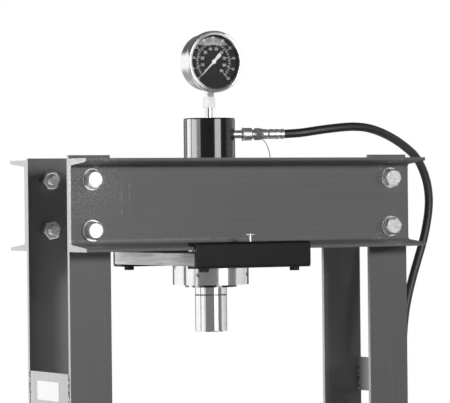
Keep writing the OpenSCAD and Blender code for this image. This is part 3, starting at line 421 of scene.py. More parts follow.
# Black enamel of the cylinder, and the satin black of the hook straps
blackLooks = {
    "cylinderBlack": {"tone": 0.010, "gloss": 0.16, "coat": 1.0, "sheen": 0.15, "wear": 0.12, "edge": 0.0012,
                      "bump": 0.2, "streaks": (420.0, 420.0, 5.0)},
    "strapBlack": {"tone": 0.014, "gloss": 0.46, "coat": 0.03, "sheen": 0.12, "wear": 0.9, "edge": 0.0026,
                   "bump": 0.14, "streaks": (12.0, 300.0, 500.0)},
}
blackFacts = {
    "drift": 0.3, "peel": 520.0, "breakup": 220.0, "wornTone": 0.35, "coatRough": 0.06, "streakShare": 2.5,
    "bumpDepth": 0.0003,
}


def makeBlack(name):
    look, facts = blackLooks[name], blackFacts
    material, tree, shader = newMaterial(name)
    coat = use(tree, "sprayCoat", Tone=grey(look["tone"]), Drift=facts["drift"], Gloss=look["gloss"],
               Peel=facts["peel"])
    worn = use(tree, "edgeWear", Radius=look["edge"], Amount=look["wear"], Breakup=facts["breakup"])["Mask"]
    streaks = use(tree, "drawnLines", Stretch=look["streaks"], Contrast=1.0)["Height"]
    surface = plus(tree, coat["Height"], times(tree, streaks, facts["streakShare"]))
    feed(tree, shader, {
        "Base Color": mixColour(tree, worn, coat["Color"], grey(facts["wornTone"])),
        "Roughness": coat["Roughness"],
        "Specular IOR Level": look["sheen"],
        "Coat Weight": look["coat"],
        "Coat Roughness": facts["coatRough"],
        "Normal": bump(tree, surface, look["bump"], facts["bumpDepth"])})
    return material


# Rubber and plastics
moulded = {
    "hoseRubber": {"tone": 0.022, "rough": 0.46, "sheen": 0.5, "grain": 900.0, "bump": 0.3, "drift": 0.5},
    "sealRubber": {"tone": 0.015, "rough": 0.55, "sheen": 0.4, "grain": 600.0, "bump": 0.2, "drift": 0.3},
    "gripRubber": {"tone": 0.018, "rough": 0.6, "sheen": 0.4, "grain": 700.0, "bump": 0.3, "drift": 0.4},
    "knobPlastic": {"tone": 0.016, "rough": 0.38, "sheen": 0.5, "grain": 800.0, "bump": 0.15, "drift": 0.2},
    "needleWhite": {"tone": 0.78, "rough": 0.45, "sheen": 0.4, "grain": 900.0, "bump": 0.03, "drift": 0.06},
    "dialBlack": {"tone": 0.012, "rough": 0.8, "sheen": 0.05, "grain": 900.0, "bump": 0.05, "drift": 0.3},
    "dialPrint": {"tone": 0.86, "rough": 0.6, "sheen": 0.2, "grain": 800.0, "bump": 0.03, "drift": 0.15},
    "blankLabel": {"tone": 0.50, "rough": 0.5, "sheen": 0.3, "grain": 500.0, "bump": 0.04, "drift": 0.06},
}
mouldedDepth = 0.0003


def makeMoulded(name):
    look = moulded[name]
    material, tree, shader = newMaterial(name)
    coat = use(tree, "sprayCoat", Tone=grey(look["tone"]), Drift=look["drift"], Gloss=look["rough"],
               Peel=look["grain"])
    feed(tree, shader, {
        "Base Color": coat["Color"],
        "Roughness": coat["Roughness"],
        "Specular IOR Level": look["sheen"],
        "Normal": bump(tree, coat["Height"], look["bump"], mouldedDepth)})
    return material


# Burnt, spattered steel of the welds
weldLook = {
    "grain": {"scale": 210.0, "detail": 4.0, "rough": 0.7}, "burnt": 0.03, "bright": 0.6,
    "span": (0.42, 0.6), "roughSpan": (0.3, 0.7), "rough": (0.65, 0.4), "metallic": 0.3,
    "bump": 0.4, "bumpDepth": 0.0006,
}


def makeWeldSteel():
    look = weldLook
    material, tree, shader = newMaterial("weldSteel")
    grain = noise(tree, objectPlace(tree), **look["grain"])
    bare = remap(tree, grain, look["span"])
    feed(tree, shader, {
        "Base Color": mixColour(tree, bare, grey(look["burnt"]), grey(look["bright"])),
        "Roughness": remap(tree, grain, look["roughSpan"], look["rough"]),
        "Metallic": look["metallic"],
        "Normal": bump(tree, grain, look["bump"], look["bumpDepth"])})
    return material


# Cloudy plastic of the dust cap
capLook = {
    "cloud": 140.0, "thin": 0.55, "thick": 0.72, "span": (0.3, 0.7), "rough": (0.25, 0.4), "inside": 0.3,
    "depth": (0.004, 0.004, 0.004), "clear": 0.25, "bending": 1.45,
}


def makeCapPlastic():
    look = capLook
    material, tree, shader = newMaterial("capPlastic")
    cloud = noise(tree, objectPlace(tree), look["cloud"])
    feed(tree, shader, {
        "Base Color": mixColour(tree, cloud, grey(look["thin"]), grey(look["thick"])),
        "Roughness": remap(tree, cloud, look["span"], look["rough"]),
        "Subsurface Weight": look["inside"],
        "Subsurface Radius": look["depth"],
        "Transmission Weight": look["clear"],
        "IOR": look["bending"]})
    return material


# Gauge glass lets the light straight through to the dial
glassLook = {"tone": 0.96, "bending": 1.3, "smears": 60.0, "span": (0.3, 0.8), "rough": (0.0, 0.03)}


def makeGlass():
    look = glassLook
    material, tree, shader = newMaterial("gaugeGlass")
    smears = noise(tree, objectPlace(tree), look["smears"])
    feed(tree, shader, {
        "Base Color": grey(look["tone"]),
        "Transmission Weight": 1.0,
        "IOR": look["bending"],
        "Roughness": remap(tree, smears, look["span"], look["rough"])})
    path = put(tree, "ShaderNodeLightPath").outputs
    straight = put(tree, "ShaderNodeBsdfTransparent").outputs[0]
    through = larger(tree, path["Is Shadow Ray"], path["Is Diffuse Ray"])
    mix = put(tree, "ShaderNodeMixShader", {0: through, 1: shader.outputs[0], 2: straight})
    tree.links.new(mix.outputs[0], tree.nodes["Material Output"].inputs["Surface"])
    return material


# Film of droplets on the glass above the filling's level
mistLook = {
    "drops": {"scale": 260.0, "detail": 4.0, "rough": 0.6}, "dark": 0.34, "pale": 0.48, "span": (0.3, 0.7),
    "alpha": (0.42, 0.55), "rough": 0.35,
}


def makeMist():
    look = mistLook
    material, tree, shader = newMaterial("gaugeMist")
    drops = noise(tree, objectPlace(tree), **look["drops"])
    feed(tree, shader, {
        "Base Color": mixColour(tree, drops, grey(look["dark"]), grey(look["pale"])),
        "Alpha": remap(tree, drops, look["span"], look["alpha"]),
        "Roughness": look["rough"]})
    return material


materials = {name: makeMetal(name) for name in metals}
materials.update({name: makeBlack(name) for name in blackLooks})
materials.update({name: makeMoulded(name) for name in moulded})
materials.update({name: makeRawPlate(name) for name in ("rawPlate", "shadedPlateCopy")})
materials["framePaint"] = makeFramePaint("framePaint", upright)
materials["channelPaint"] = makeFramePaint("channelPaint", lengthwise)
materials["rubbedPaint"] = makeFramePaint("rubbedPaint", lengthwise, True)
materials["weldSteel"] = makeWeldSteel()
materials["capPlastic"] = makeCapPlastic()
materials["gaugeGlass"] = makeGlass()
materials["gaugeMist"] = makeMist()
print("materials made:", len(materials))


# Mesh helpers
def meshFrom(name, work, smoothAngle=35.0):
    bmesh.ops.recalc_face_normals(work, faces=work.faces)
    for face in work.faces:
        face.smooth = True
    for edge in work.edges:
        if len(edge.link_faces) == 2 and edge.calc_face_angle() > radians(smoothAngle):
            edge.smooth = False
    mesh = bpy.data.meshes.new(name)
    work.to_mesh(mesh)
    work.free()
    return mesh


def addPiece(name, work, finish, body, smoothAngle=35.0):
    piece = bpy.data.objects.new(name, meshFrom(name, work, smoothAngle))
    piece.data.materials.append(materials[finish])
    scene.collection.objects.link(piece)
    if body:
        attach(piece, body)
    return piece


def circle(sides):
    angles = [2 * pi * k / sides for k in range(sides)]
    return [(cos(angle), sin(angle)) for angle in angles]


# Each row is a closed ring of points, and rows are joined by quads
def loftRings(work, rings, closed=True):
    made = [[work.verts.new(p) for p in ring] for ring in rings]
    count = len(made[0])
    for a, b in zip(made, made[1:]):
        for i in range(count):
            j = (i + 1) % count
            work.faces.new((a[i], a[j], b[j], b[i]))
    if closed:
        work.faces.new(list(reversed(made[0])))
        work.faces.new(made[-1])


# The last row is joined to the first, so that a hole stays through the middle
mergeGap = 1e-7


def loftLoop(work, rings):
    loftRings(work, rings + rings[:1], False)
    bmesh.ops.remove_doubles(work, verts=work.verts, dist=mergeGap)


# Profile of (radius, height) pairs turned about the Z axis of a matrix
def turnedRings(profile, matrix, sides):
    return [[matrix @ Vector((radius * c, radius * s, height)) for c, s in circle(sides)]
            for radius, height in profile]


def smoothRoute(points, steps):
    route = []
    for i in range(len(points) - 1):
        a, b = points[i], points[i + 1]
        before = points[i - 1] if i else a + (a - b)
        after = points[i + 2] if i + 2 < len(points) else b + (b - a)
        for k in range(steps):
            t = k / steps
            square = (2 * before - 5 * a + 4 * b - after) * t * t
            cube = (3 * a - before - 3 * b + after) * t ** 3
            route.append(0.5 * (2 * a + (b - before) * t + square + cube))
    route.append(points[-1].copy())
    return route


def routeAlong(route, i):
    return (route[min(i + 1, len(route) - 1)] - route[max(i - 1, 0)]).normalized()


def tubeRings(route, radius, sides, startDir=None, endDir=None):
    rings = []
    across = Vector((0, 1, 0))
    directions = [routeAlong(route, i) for i in range(len(route))]
    directions[0] = startDir or directions[0]
    directions[-1] = endDir or directions[-1]
    for p, along in zip(route, directions):
        across = (across - along * along.dot(across)).normalized()
        other = along.cross(across)
        rings.append([p + radius * (across * c + other * s) for c, s in circle(sides)])
    return rings


# The cylinder's port, in mm and degrees, which the hose, the coupler and the dust cap share
portFacts = {"foot": (-20.0, 0.0, 1604.0), "turn": 20.0}
portTurn = radians(portFacts["turn"])

# Hose from the cylinder's coupler to the pump's outlet: sizes and ends in metres, route in mm
hoseFacts = {
    "diameter": 0.0155,
    "station": 0.1366,
    "outlet": (0.385, 0.0, 0.9965),
    "route": [(138, -56, 1606), (174, -63, 1611), (210, -66, 1615), (243, -66, 1617), (274, -64, 1615),
              (305, -59, 1608), (336, -53, 1597), (367, -46, 1582), (396, -39, 1563), (416, -32, 1540),
              (430, -26, 1513), (437, -21, 1485), (438, -17, 1459), (435, -13, 1430), (430, -10, 1405),
              (421, -7, 1374), (412, -4, 1343), (403, -2, 1310), (396, 0, 1275), (391, 0, 1235),
              (388, 0, 1190), (386, 0, 1140), (385, 0, 1085), (385, 0, 1035)],
    "steps": 5,
    "sides": 24,
}


def makeHose():
    outward = Vector((cos(portTurn), -sin(portTurn), 0))
    foot = Vector([value * mm for value in portFacts["foot"]])
    first = foot + hoseFacts["station"] * outward
    points = [first] + [Vector(p) * mm for p in hoseFacts["route"]] + [Vector(hoseFacts["outlet"])]
    route = smoothRoute(points, hoseFacts["steps"])
    down = Vector((0, 0, -1))
    work = bmesh.new()
    loftRings(work, tubeRings(route, hoseFacts["diameter"] / 2, hoseFacts["sides"], outward, down))
    hose = addPiece("hydraulic_hose", work, "hoseRubber", None, smoothAngle=60)
    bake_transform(hose)
    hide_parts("hose")


makeHose()

# Hexagons: reach of the flats and drop of the chamfer, at an angle about the axis
chamferSlope = 0.58
hexSides = 60
hexSmooth = 14  # degrees


def hexShape(flats, face):
    def reach(angle):
        fold = (angle + pi / 6) % (pi / 3) - pi / 6
        return flats / 2 / cos(fold)

    def drop(angle):
        return max(0.0, reach(angle) - face) * chamferSlope

    return reach, drop


def hexRow(place, turn, reach, height):
    row = []
    for i in range(hexSides):
        angle = 2 * pi * i / hexSides
        r = reach(angle) if callable(reach) else reach
        h = height(angle) if callable(height) else height
        row.append((place @ Vector((r * cos(angle + turn), r * sin(angle + turn), h))) * mm)
    return row


def hexRows(place, turn, profile):
    return [hexRow(place, turn, reach, height) for reach, height in profile]


# Head bolts and nuts, in mm: chamfered hexagons, a washer face, a rolled thread at the end
boltFacts = {
    "across": 305.0, "heights": (1436.0, 1524.0), "flats": 30.0, "face": 13.6, "radius": 10.0,
    "seat": 93.0, "top": 105.6, "nut": (59.5, 75.5), "tip": 49.5, "pitch": 2.5, "depth": 1.2,
    "tipShrink": 1.7, "tipEdge": 0.5, "tipLength": 1.2, "threadStart": 1.6, "threadStop": 1.0,
    "threadSteps": 5, "shankStart": 1.5, "shankGap": 0.1, "collar": 0.7, "crown": 0.4, "crownInset": 1.1,
    "holeGap": 0.05, "holeChamfer": 1.2, "nutTurn": 1.7,
    "turns": (17.0, 4.0, 38.0, 26.0, 11.0, 49.0, 7.0, 33.0),
}


def threadAt(height, turn):
    def reach(angle):
        phase = (height / boltFacts["pitch"] - (angle + turn) / (2 * pi)) % 1
        return boltFacts["radius"] - boltFacts["depth"] * abs(2 * phase - 1)

    return reach


def boltProfile(turn):
    f = boltFacts
    reach, drop = hexShape(f["flats"], f["face"])
    shank = f["radius"] - f["shankGap"]
    collar = f["face"] + f["collar"]
    underHead = f["seat"] + f["collar"]
    crown = f["top"] - f["crown"]
    profile = [(f["radius"] - f["tipShrink"], f["tip"]),
               (f["radius"] - f["tipEdge"], f["tip"] + f["tipLength"])]
    height = f["tip"] + f["threadStart"]
    while height < f["nut"][0] + f["threadStop"]:
        profile.append((threadAt(height, turn), height))
        height += f["pitch"] / f["threadSteps"]
    return profile + [
        (shank, f["nut"][0] + f["shankStart"]), (shank, f["seat"]),
        (collar, f["seat"]), (collar, underHead),
        (reach, underHead), (reach, lambda angle: crown - drop(angle)),
        (f["face"], crown), (f["face"] - f["crownInset"], f["top"])]


def nutProfile():
    f = boltFacts
    reach, drop = hexShape(f["flats"], f["face"])
    low, high = f["nut"]
    hole = f["radius"] + f["holeGap"]
    return [(hole, high), (f["face"], high),
            (reach, lambda angle: high - drop(angle)), (reach, lambda angle: low + drop(angle)),
            (f["face"], low), (hole + f["holeChamfer"], low), (hole, low + f["holeChamfer"])]


def makeBolts():
    bolts, nuts = bmesh.new(), bmesh.new()
    turns = iter(boltFacts["turns"])
    for side in (1, -1):
        axes = Matrix(((side, 0, 0), (0, 0, -side), (0, 1, 0))).to_4x4()
        for x in (-boltFacts["across"], boltFacts["across"]):
            for z in boltFacts["heights"]:
                turn = radians(next(turns))
                place = Matrix.Translation((x, 0, z)) @ axes
                loftRings(bolts, hexRows(place, turn, boltProfile(turn)))
                loftLoop(nuts, hexRows(place, turn * boltFacts["nutTurn"], nutProfile()))
    boltPiece = addPiece("threaded_bolts", bolts, "zinc", "frame", hexSmooth)
    # The nuts take the darker zinc copy: painted shade
    nutPiece = addPiece("chamfered_nuts", nuts, "zincShadedCopy", "frame", hexSmooth)
    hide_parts("head_bolts")
    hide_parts("head_nuts")


makeBolts()

# Printing on the dial, in mm: two scales with plain numbers
gaugeCentre = (-20.0, 0.0, 1733.5)
dialFacts = {
    "plane": -16.5, "ring": 32.6, "ringWidth": 0.32, "ringSteps": 108, "start": 225.0, "sweep": 270.0,
    "thick": 0.08, "lift": 0.25, "fine": 0.5, "bold": 0.8, "fontShare": 1.4, "fontSteps": 3,
    "outer": {"top": 50, "step": 5, "parts": 40, "short": 3.4, "long": 5.4, "reach": 42.3, "height": 4.9},
    "inner": {"top": 90, "step": 10, "parts": 27, "short": -2.8, "long": -4.2, "reach": 23.2, "height": 5.2},
}


def dialPoint(turn, reach):
    angle = radians(dialFacts["start"] - dialFacts["sweep"] * turn)
    return Vector((reach * cos(angle), reach * sin(angle), 0))


def flatBar(work, a, b, width):
    along = (b - a).normalized()
    across = Vector((-along.y, along.x, 0)) * width / 2
    work.faces.new([work.verts.new(p) for p in (a - across, b - across, b + across, a + across)])


def flatText(work, words, centre, height):
    curve = bpy.data.curves.new("digits", "FONT")
    curve.body = words
    curve.size = height * dialFacts["fontShare"]
    curve.align_x = "CENTER"
    curve.align_y = "CENTER"
    curve.resolution_u = dialFacts["fontSteps"]
    holder = bpy.data.objects.new("digits", curve)
    scene.collection.objects.link(holder)
    shape = bpy.data.meshes.new_from_object(holder.evaluated_get(bpy.context.evaluated_depsgraph_get()))
    shape.transform(Matrix.Translation(centre))
    work.from_mesh(shape)
    bpy.data.objects.remove(holder)
    bpy.data.curves.remove(curve)
    bpy.data.meshes.remove(shape)


# Flat dial figures, in mm about the hub, given thickness and stood up behind the glass
def onDial(work, lift, thick):
    made = bmesh.ops.extrude_face_region(work, geom=work.faces[:])
    raised = [v for v in made["geom"] if isinstance(v, bmesh.types.BMVert)]
    bmesh.ops.translate(work, verts=raised, vec=(0, 0, thick))
    for vert in work.verts:
        x, y, z = vert.co
        vert.co = Vector((gaugeCentre[0] + x, dialFacts["plane"] - lift - z, gaugeCentre[2] + y)) * mm


def makeDialPrint():
    work = bmesh.new()
    ring, half, steps = dialFacts["ring"], dialFacts["ringWidth"] / 2, dialFacts["ringSteps"]
    turns = [i / steps for i in range(steps + 1)]
    rows = [[work.verts.new(dialPoint(turn, ring + w)) for w in (-half, half)] for turn in turns]
    for a, b in zip(rows, rows[1:]):
        work.faces.new((a[0], b[0], b[1], a[1]))
    for scale in (dialFacts["outer"], dialFacts["inner"]):
        every = scale["step"] * scale["parts"] // scale["top"]
        for i in range(scale["parts"] + 1):
            turn = i / scale["parts"]
            length = scale["short"] if i % every else scale["long"]
            width = dialFacts["fine"] if i % every else dialFacts["bold"]
            flatBar(work, dialPoint(turn, ring), dialPoint(turn, ring + length), width)
        for value in range(0, scale["top"] + 1, scale["step"]):
            flatText(work, str(value), dialPoint(value / scale["top"], scale["reach"]), scale["height"])
    onDial(work, dialFacts["lift"], dialFacts["thick"])
    addPiece("dial_print", work, "dialPrint", "carriage")


makeDialPrint()

# Haze above the filling's level
hazeFacts = {"radius": 44.0, "shift": -2.0, "level": 29.6, "lift": 0.03, "thick": 0.1, "steps": 40}


def makeHaze():
    radius, steps = hazeFacts["radius"], hazeFacts["steps"]
    start = asin(hazeFacts["level"] / radius)
    edge = [start + (pi - 2 * start) * i / steps for i in range(steps + 1)]
    points = [(hazeFacts["shift"] + radius * cos(a), radius * sin(a), 0) for a in edge]
    work = bmesh.new()
    work.faces.new([work.verts.new(p) for p in points])
    onDial(work, hazeFacts["lift"], hazeFacts["thick"])
    addPiece("gauge_haze", work, "gaugeMist", "carriage")


makeHaze()

# Rolled bezel: outer edge bead, face ring, groove and a slope down to the glass
bezelFacts = {
    "profile": [(50.6, 13.0), (54.3, 13.0), (54.9, 13.5), (55.0, 14.2), (55.0, 24.4),
                (54.8, 25.4), (54.3, 26.2), (53.6, 26.8), (53.0, 27.0), (52.4, 26.9),
                (48.8, 26.1), (48.2, 25.6), (48.0, 23.6), (50.6, 23.6)],
    "sides": 96,
}


def makeBezel():
    axes = Matrix(((1, 0, 0), (0, 0, -1), (0, 1, 0))).to_4x4()
    place = Matrix.Scale(mm, 4) @ Matrix.Translation(gaugeCentre) @ axes
    work = bmesh.new()
    loftLoop(work, turnedRings(bezelFacts["profile"], place, bezelFacts["sides"]))
    bezel = addPiece("rolled_bezel", work, "chrome", "carriage", smoothAngle=40)
    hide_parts("gauge_bezel")


makeBezel()

# Blank label on the left tie plate
labelFacts = {
    "x": -345.0, "y": (-37.4, 45.7), "z": (1141.0, 1174.0), "corner": 3.0, "cornerSteps": 6, "thick": 0.35,
}


def makeLabel():
    r, steps = labelFacts["corner"], labelFacts["cornerSteps"]
    points = []
    for y, z, first in ((1, 1, 0), (0, 1, 90), (0, 0, 180), (1, 0, 270)):
        cornerY = labelFacts["y"][y] + (-r if y else r)
        cornerZ = labelFacts["z"][z] + (-r if z else r)
        angles = [radians(first + 90 * k / steps) for k in range(steps + 1)]
        points += [(cornerY + r * cos(a), cornerZ + r * sin(a)) for a in angles]
    work = bmesh.new()
    levels = (labelFacts["x"], labelFacts["x"] - labelFacts["thick"])
    loftRings(work, [[Vector((x, y, z)) * mm for y, z in points] for x in levels])
    addPiece("blank_label", work, "blankLabel", "frame")


makeLabel()

# Weld beads where the tie plates meet the posts
weldFacts = {
    "outer": 345.0, "inner": 339.0, "y": 75.5, "innerTuck": 0.985, "innerShare": 1.3,
    "spans": {"upper": (1128.0, 1190.0), "middle": (720.0, 860.0), "lower": (20.0, 100.0)},
    "radius": 2.6, "flatness": 0.62, "ripple": 2.4, "rippleSteps": 3, "rippleDepth": 0.28, "jitter": 0.05,
    "endShare": 0.45, "endRise": 0.2, "sides": 12, "seed": 7,
}


def weldBead(work, x, y, span, side, size):
    f = weldFacts
    rings = []
    count = int((span[1] - span[0]) / f["ripple"] * f["rippleSteps"])
    for i in range(count + 1):
        wave = abs(2 * ((i / f["rippleSteps"]) % 1) - 1)
        swell = 1 - f["rippleDepth"] * wave + random.uniform(-f["jitter"], f["jitter"])
        end = min(1.0, f["endShare"] + f["endRise"] * min(i, count - i))
        r = size * swell * end
        z = span[0] + (span[1] - span[0]) * i / count
        ring = [(x + r * side * c * f["flatness"], y + r * s, z) for c, s in circle(f["sides"])]
        rings.append([Vector(point) * mm for point in ring])
    loftRings(work, rings)


def makeWelds():
    f = weldFacts
    random.seed(f["seed"])
    innerRadius = f["radius"] * f["innerShare"]
    work = bmesh.new()
    for side in (-1, 1):
        for y in (-f["y"], f["y"]):
            for level, span in f["spans"].items():
                if side < 0 or level != "middle":  # the pump's plate covers the right column there
                    weldBead(work, side * f["outer"], y, span, side, f["radius"])
                weldBead(work, side * f["inner"], y * f["innerTuck"], span, side, innerRadius)
    addPiece("weld_beads", work, "weldSteel", "frame", smoothAngle=60)


makeWelds()

# Coupler body: turned neck, chamfered hexagon, tail and bore
couplerFacts = {
    "flats": 21.6, "face": 10.2, "neck": 7.9, "tail": 6.6, "bore": 4.2,
    "start": 78.4, "hex": 82.0, "shoulder": 92.4, "end": 96.7,
}


def makeCoupler():
    f = couplerFacts
    outward = Matrix.Rotation(-portTurn, 4, "Z") @ Matrix.Rotation(pi / 2, 4, "Y")
    place = Matrix.Translation(portFacts["foot"]) @ outward
    reach, drop = hexShape(f["flats"], f["face"])
    profile = [(f["bore"], f["start"]), (f["neck"], f["start"]),
               (f["neck"], f["hex"]), (f["face"], f["hex"]),
               (reach, lambda angle: f["hex"] + drop(angle)),
               (reach, lambda angle: f["shoulder"] - drop(angle)),
               (f["face"], f["shoulder"]), (f["tail"], f["shoulder"]),
               (f["tail"], f["end"]), (f["bore"], f["end"])]
    work = bmesh.new()
    loftLoop(work, hexRows(place, 0.0, profile))
    # The coupler body takes the darker zinc copy: painted shade
    body = addPiece("hex_coupler", work, "zincShadedCopy", "carriage", hexSmooth)
    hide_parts("coupler_body")


makeCoupler()

# Dust cap: loop behind the coupler, curved strap, cup hanging from it
capFacts = {
    "station": 94.8, "loop": 6.8, "wall": 3.2, "edge": 0.4, "width": 3.5, "thick": 1.1,
    "sides": 40, "steps": 6,
    "strap": [(1.2, -9.6), (6.5, -14), (12, -25), (15.5, -40), (12.5, -54), (5, -63), (0, -66)],
    "cup": [(11.6, -86.8), (11.6, -81), (11.1, -80.2), (11.1, -66.8), (10.2, -65.4),
            (4.0, -64.8), (3.0, -66.5), (8.9, -67.2), (9.4, -68), (9.4, -86.8)],
}


def makeDustCap():
    f = capFacts
    port = Matrix.Translation(portFacts["foot"]) @ Matrix.Rotation(-portTurn, 4, "Z")
    place = Matrix.Scale(mm, 4) @ port @ Matrix.Translation((f["station"], 0, 0))
    half, inner, outer, edge = f["width"] / 2, f["loop"], f["loop"] + f["wall"], f["edge"]
    hoop = [(inner, -half), (outer - edge, -half), (outer, edge - half),
            (outer, half - edge), (outer - edge, half), (inner, half)]
    work = bmesh.new()
    loftLoop(work, turnedRings(hoop, place @ Matrix.Rotation(pi / 2, 4, "Y"), f["sides"]))
    loftLoop(work, turnedRings(f["cup"], place, f["sides"]))
    route = smoothRoute([Vector((x, 0, z)) for x, z in f["strap"]], f["steps"])
    flat = Vector((0, half, 0))
    rings = []
    for i, p in enumerate(route):
        side = Vector((0, 1, 0)).cross(routeAlong(route, i)) * f["thick"] / 2
        rings.append([place @ (p + a * side + b * flat) for a, b in ((-1, -1), (1, -1), (1, 1), (-1, 1))])
    loftRings(work, rings)
    cap = addPiece("strapped_cap", work, "capPlastic", "carriage", smoothAngle=40)
    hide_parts("dust_cap")


makeDustCap()

# Ribbed grip on the pump handle: (inset, height) pairs for its nose, one rib and its tail
gripFacts = {
    "foot": (430.0, -624.0, 967.0), "radius": 17.0, "length": 130.0, "bore": 13.6, "sides": 48,
    "nose": [(8.0, 0.0), (3.5, 0.5), (1.0, 2.2), (0.0, 5.0), (0.0, 12.0)],
    "rib": 7.0, "ribStart": 14.0, "ribStop": 14.0,
    "ribShape": [(1.3, 0.0), (1.3, 1.6), (0.2, 2.4), (0.0, 3.4), (0.0, 5.6), (0.2, 6.4)],
    "tail": [(0.0, -12.0), (0.0, -1.2), (1.0, 0.0)],
}


def makeGrip():
    f = gripFacts
    profile = [(f["radius"] - inset, z) for inset, z in f["nose"]]
    foot = f["ribStart"]
    while foot + f["rib"] < f["length"] - f["ribStop"]:
        profile += [(f["radius"] - inset, foot + z) for inset, z in f["ribShape"]]
        foot += f["rib"]
    profile += [(f["radius"] - inset, f["length"] + z) for inset, z in f["tail"]]
    profile.append((f["bore"], f["length"]))
    axes = Matrix(((1, 0, 0), (0, 0, 1), (0, -1, 0))).to_4x4()
    place = Matrix.Scale(mm, 4) @ Matrix.Translation(f["foot"]) @ axes
    work = bmesh.new()
    loftRings(work, turnedRings(profile, place, f["sides"]))
    grip = addPiece("ribbed_grip", work, "gripRubber", "lever", smoothAngle=40)
    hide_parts("handle_grip")


makeGrip()

# Return spring inside the cylinder, pressed together by the piston
springFacts = {
    "centre": (-20.0, 0.0), "low": 1361.31, "high": 1564.49, "radius": 31.75, "wire": 4.5, "wireShare": 0.99,
    "turns": 9, "turnSteps": 32, "sides": 10, "stroke": 150.0, "slack": 0.6,
}


def makeSpring():
    f = springFacts
    x, y = f["centre"]
    low, high = f["low"] + f["wire"] / 2, f["high"] - f["wire"] / 2
    steps = f["turns"] * f["turnSteps"]
    route = []
    for i in range(steps + 1):
        angle = 2 * pi * i / f["turnSteps"]
        z = low + (high - low) * i / steps
        route.append(Vector((x + f["radius"] * cos(angle), y + f["radius"] * sin(angle), z)) * mm)
    work = bmesh.new()
    loftRings(work, tubeRings(route, f["wire"] * mm * f["wireShare"] / 2, f["sides"]))
    spring = addPiece("coil_spring", work, "springSteel", "carriage", smoothAngle=60)
    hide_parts("return_spring")
    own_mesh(spring)


makeSpring()

# Dark ring painted into the joint between the ram and its cap: painted shade, standing for the joint's
# shadow
jointShadeFacts = {
    "centre": (-20.0, 0.0, 1317.5), "sides": 72,
    "profile": [(28.2, -0.9), (28.56, -0.9), (28.56, 0.9), (28.2, 0.9)],
}


def makeJoint():
    place = Matrix.Scale(mm, 4) @ Matrix.Translation(jointShadeFacts["centre"])
    work = bmesh.new()
    loftLoop(work, turnedRings(jointShadeFacts["profile"], place, jointShadeFacts["sides"]))
    # A dark ring, painted shade where the ram meets its cap
    addPiece("ram_joint_painted_shade", work, "jointShadeDark", "ram")


makeJoint()
print("pieces made")

# CAD nodes: their finish and the width of their edge rounding in mm
finishes = {
    "framePaint": (["left_front_post", "left_rear_post", "right_front_post", "right_rear_post",
                    "left_tie_plates", "right_tie_plates", "bed_spacers", "oil_tank", "pump_block"], 0.7),
    "channelPaint": (["rear_head_channel", "left_foot", "right_foot", "cross_bar", "front_bed_channel",
                      "rear_bed_channel", "pump_lever"], 0.7),
    "rubbedPaint": (["front_head_channel"], 0.7),
    "zinc": (["head_washers", "base_bolts", "base_nuts", "bed_bolts", "bed_nuts",
              "left_bed_pin", "right_bed_pin", "lock_screw", "filler_plug", "lever_pin"], 0.4),
    "polishedHex": (["gauge_adapter"], 1.2),
    "zincSoft": (["port_nipple", "coupler_sleeve", "hose_ferrule", "hose_outlet"], 0.4),
    "turnedSteel": (["ring_nut", "rod_guide", "piston", "gauge_movement"], 0.5),
    "rawPlate": (["slide_plate"], 0.8),
    # The press plates take the darker plate copy: painted shade
    "shadedPlateCopy": (["press_plates"], 0.8),
    "chrome": (["ram_rod", "ram_cap"], 1.1),
    "polished": (["plunger", "gauge_case"], 0.4),
    "cylinderBlack": (["cylinder_barrel"], 0),
    "strapBlack": (["front_hook", "rear_hook", "hook_bolts"], 0.4),
    "sealRubber": (["rod_seal", "piston_seal"], 0),
    "knobPlastic": (["release_valve"], 0.8),
    "dialBlack": (["gauge_dial"], 0),
    "needleWhite": (["gauge_needle"], 0),
    "gaugeGlass": (["gauge_window"], 0),
}
roundingFacts = {"segments": 2, "angle": 40}


def dress(name, material, rounding):
    node = nodes[name]
    node.data.materials.clear()
    node.data.materials.append(material)
    if rounding:
        edge = node.modifiers.new("edges", "BEVEL")
        edge.width = rounding * mm
        edge.segments = roundingFacts["segments"]
        edge.limit_method = "ANGLE"
        edge.angle_limit = radians(roundingFacts["angle"])
        edge.use_clamp_overlap = True
        edge.harden_normals = True


for finish, (names, rounding) in finishes.items():
    for name in names:
        dress(name, materials[finish], rounding)
print("nodes dressed:", sum(len(names) for names, _ in finishes.values()))

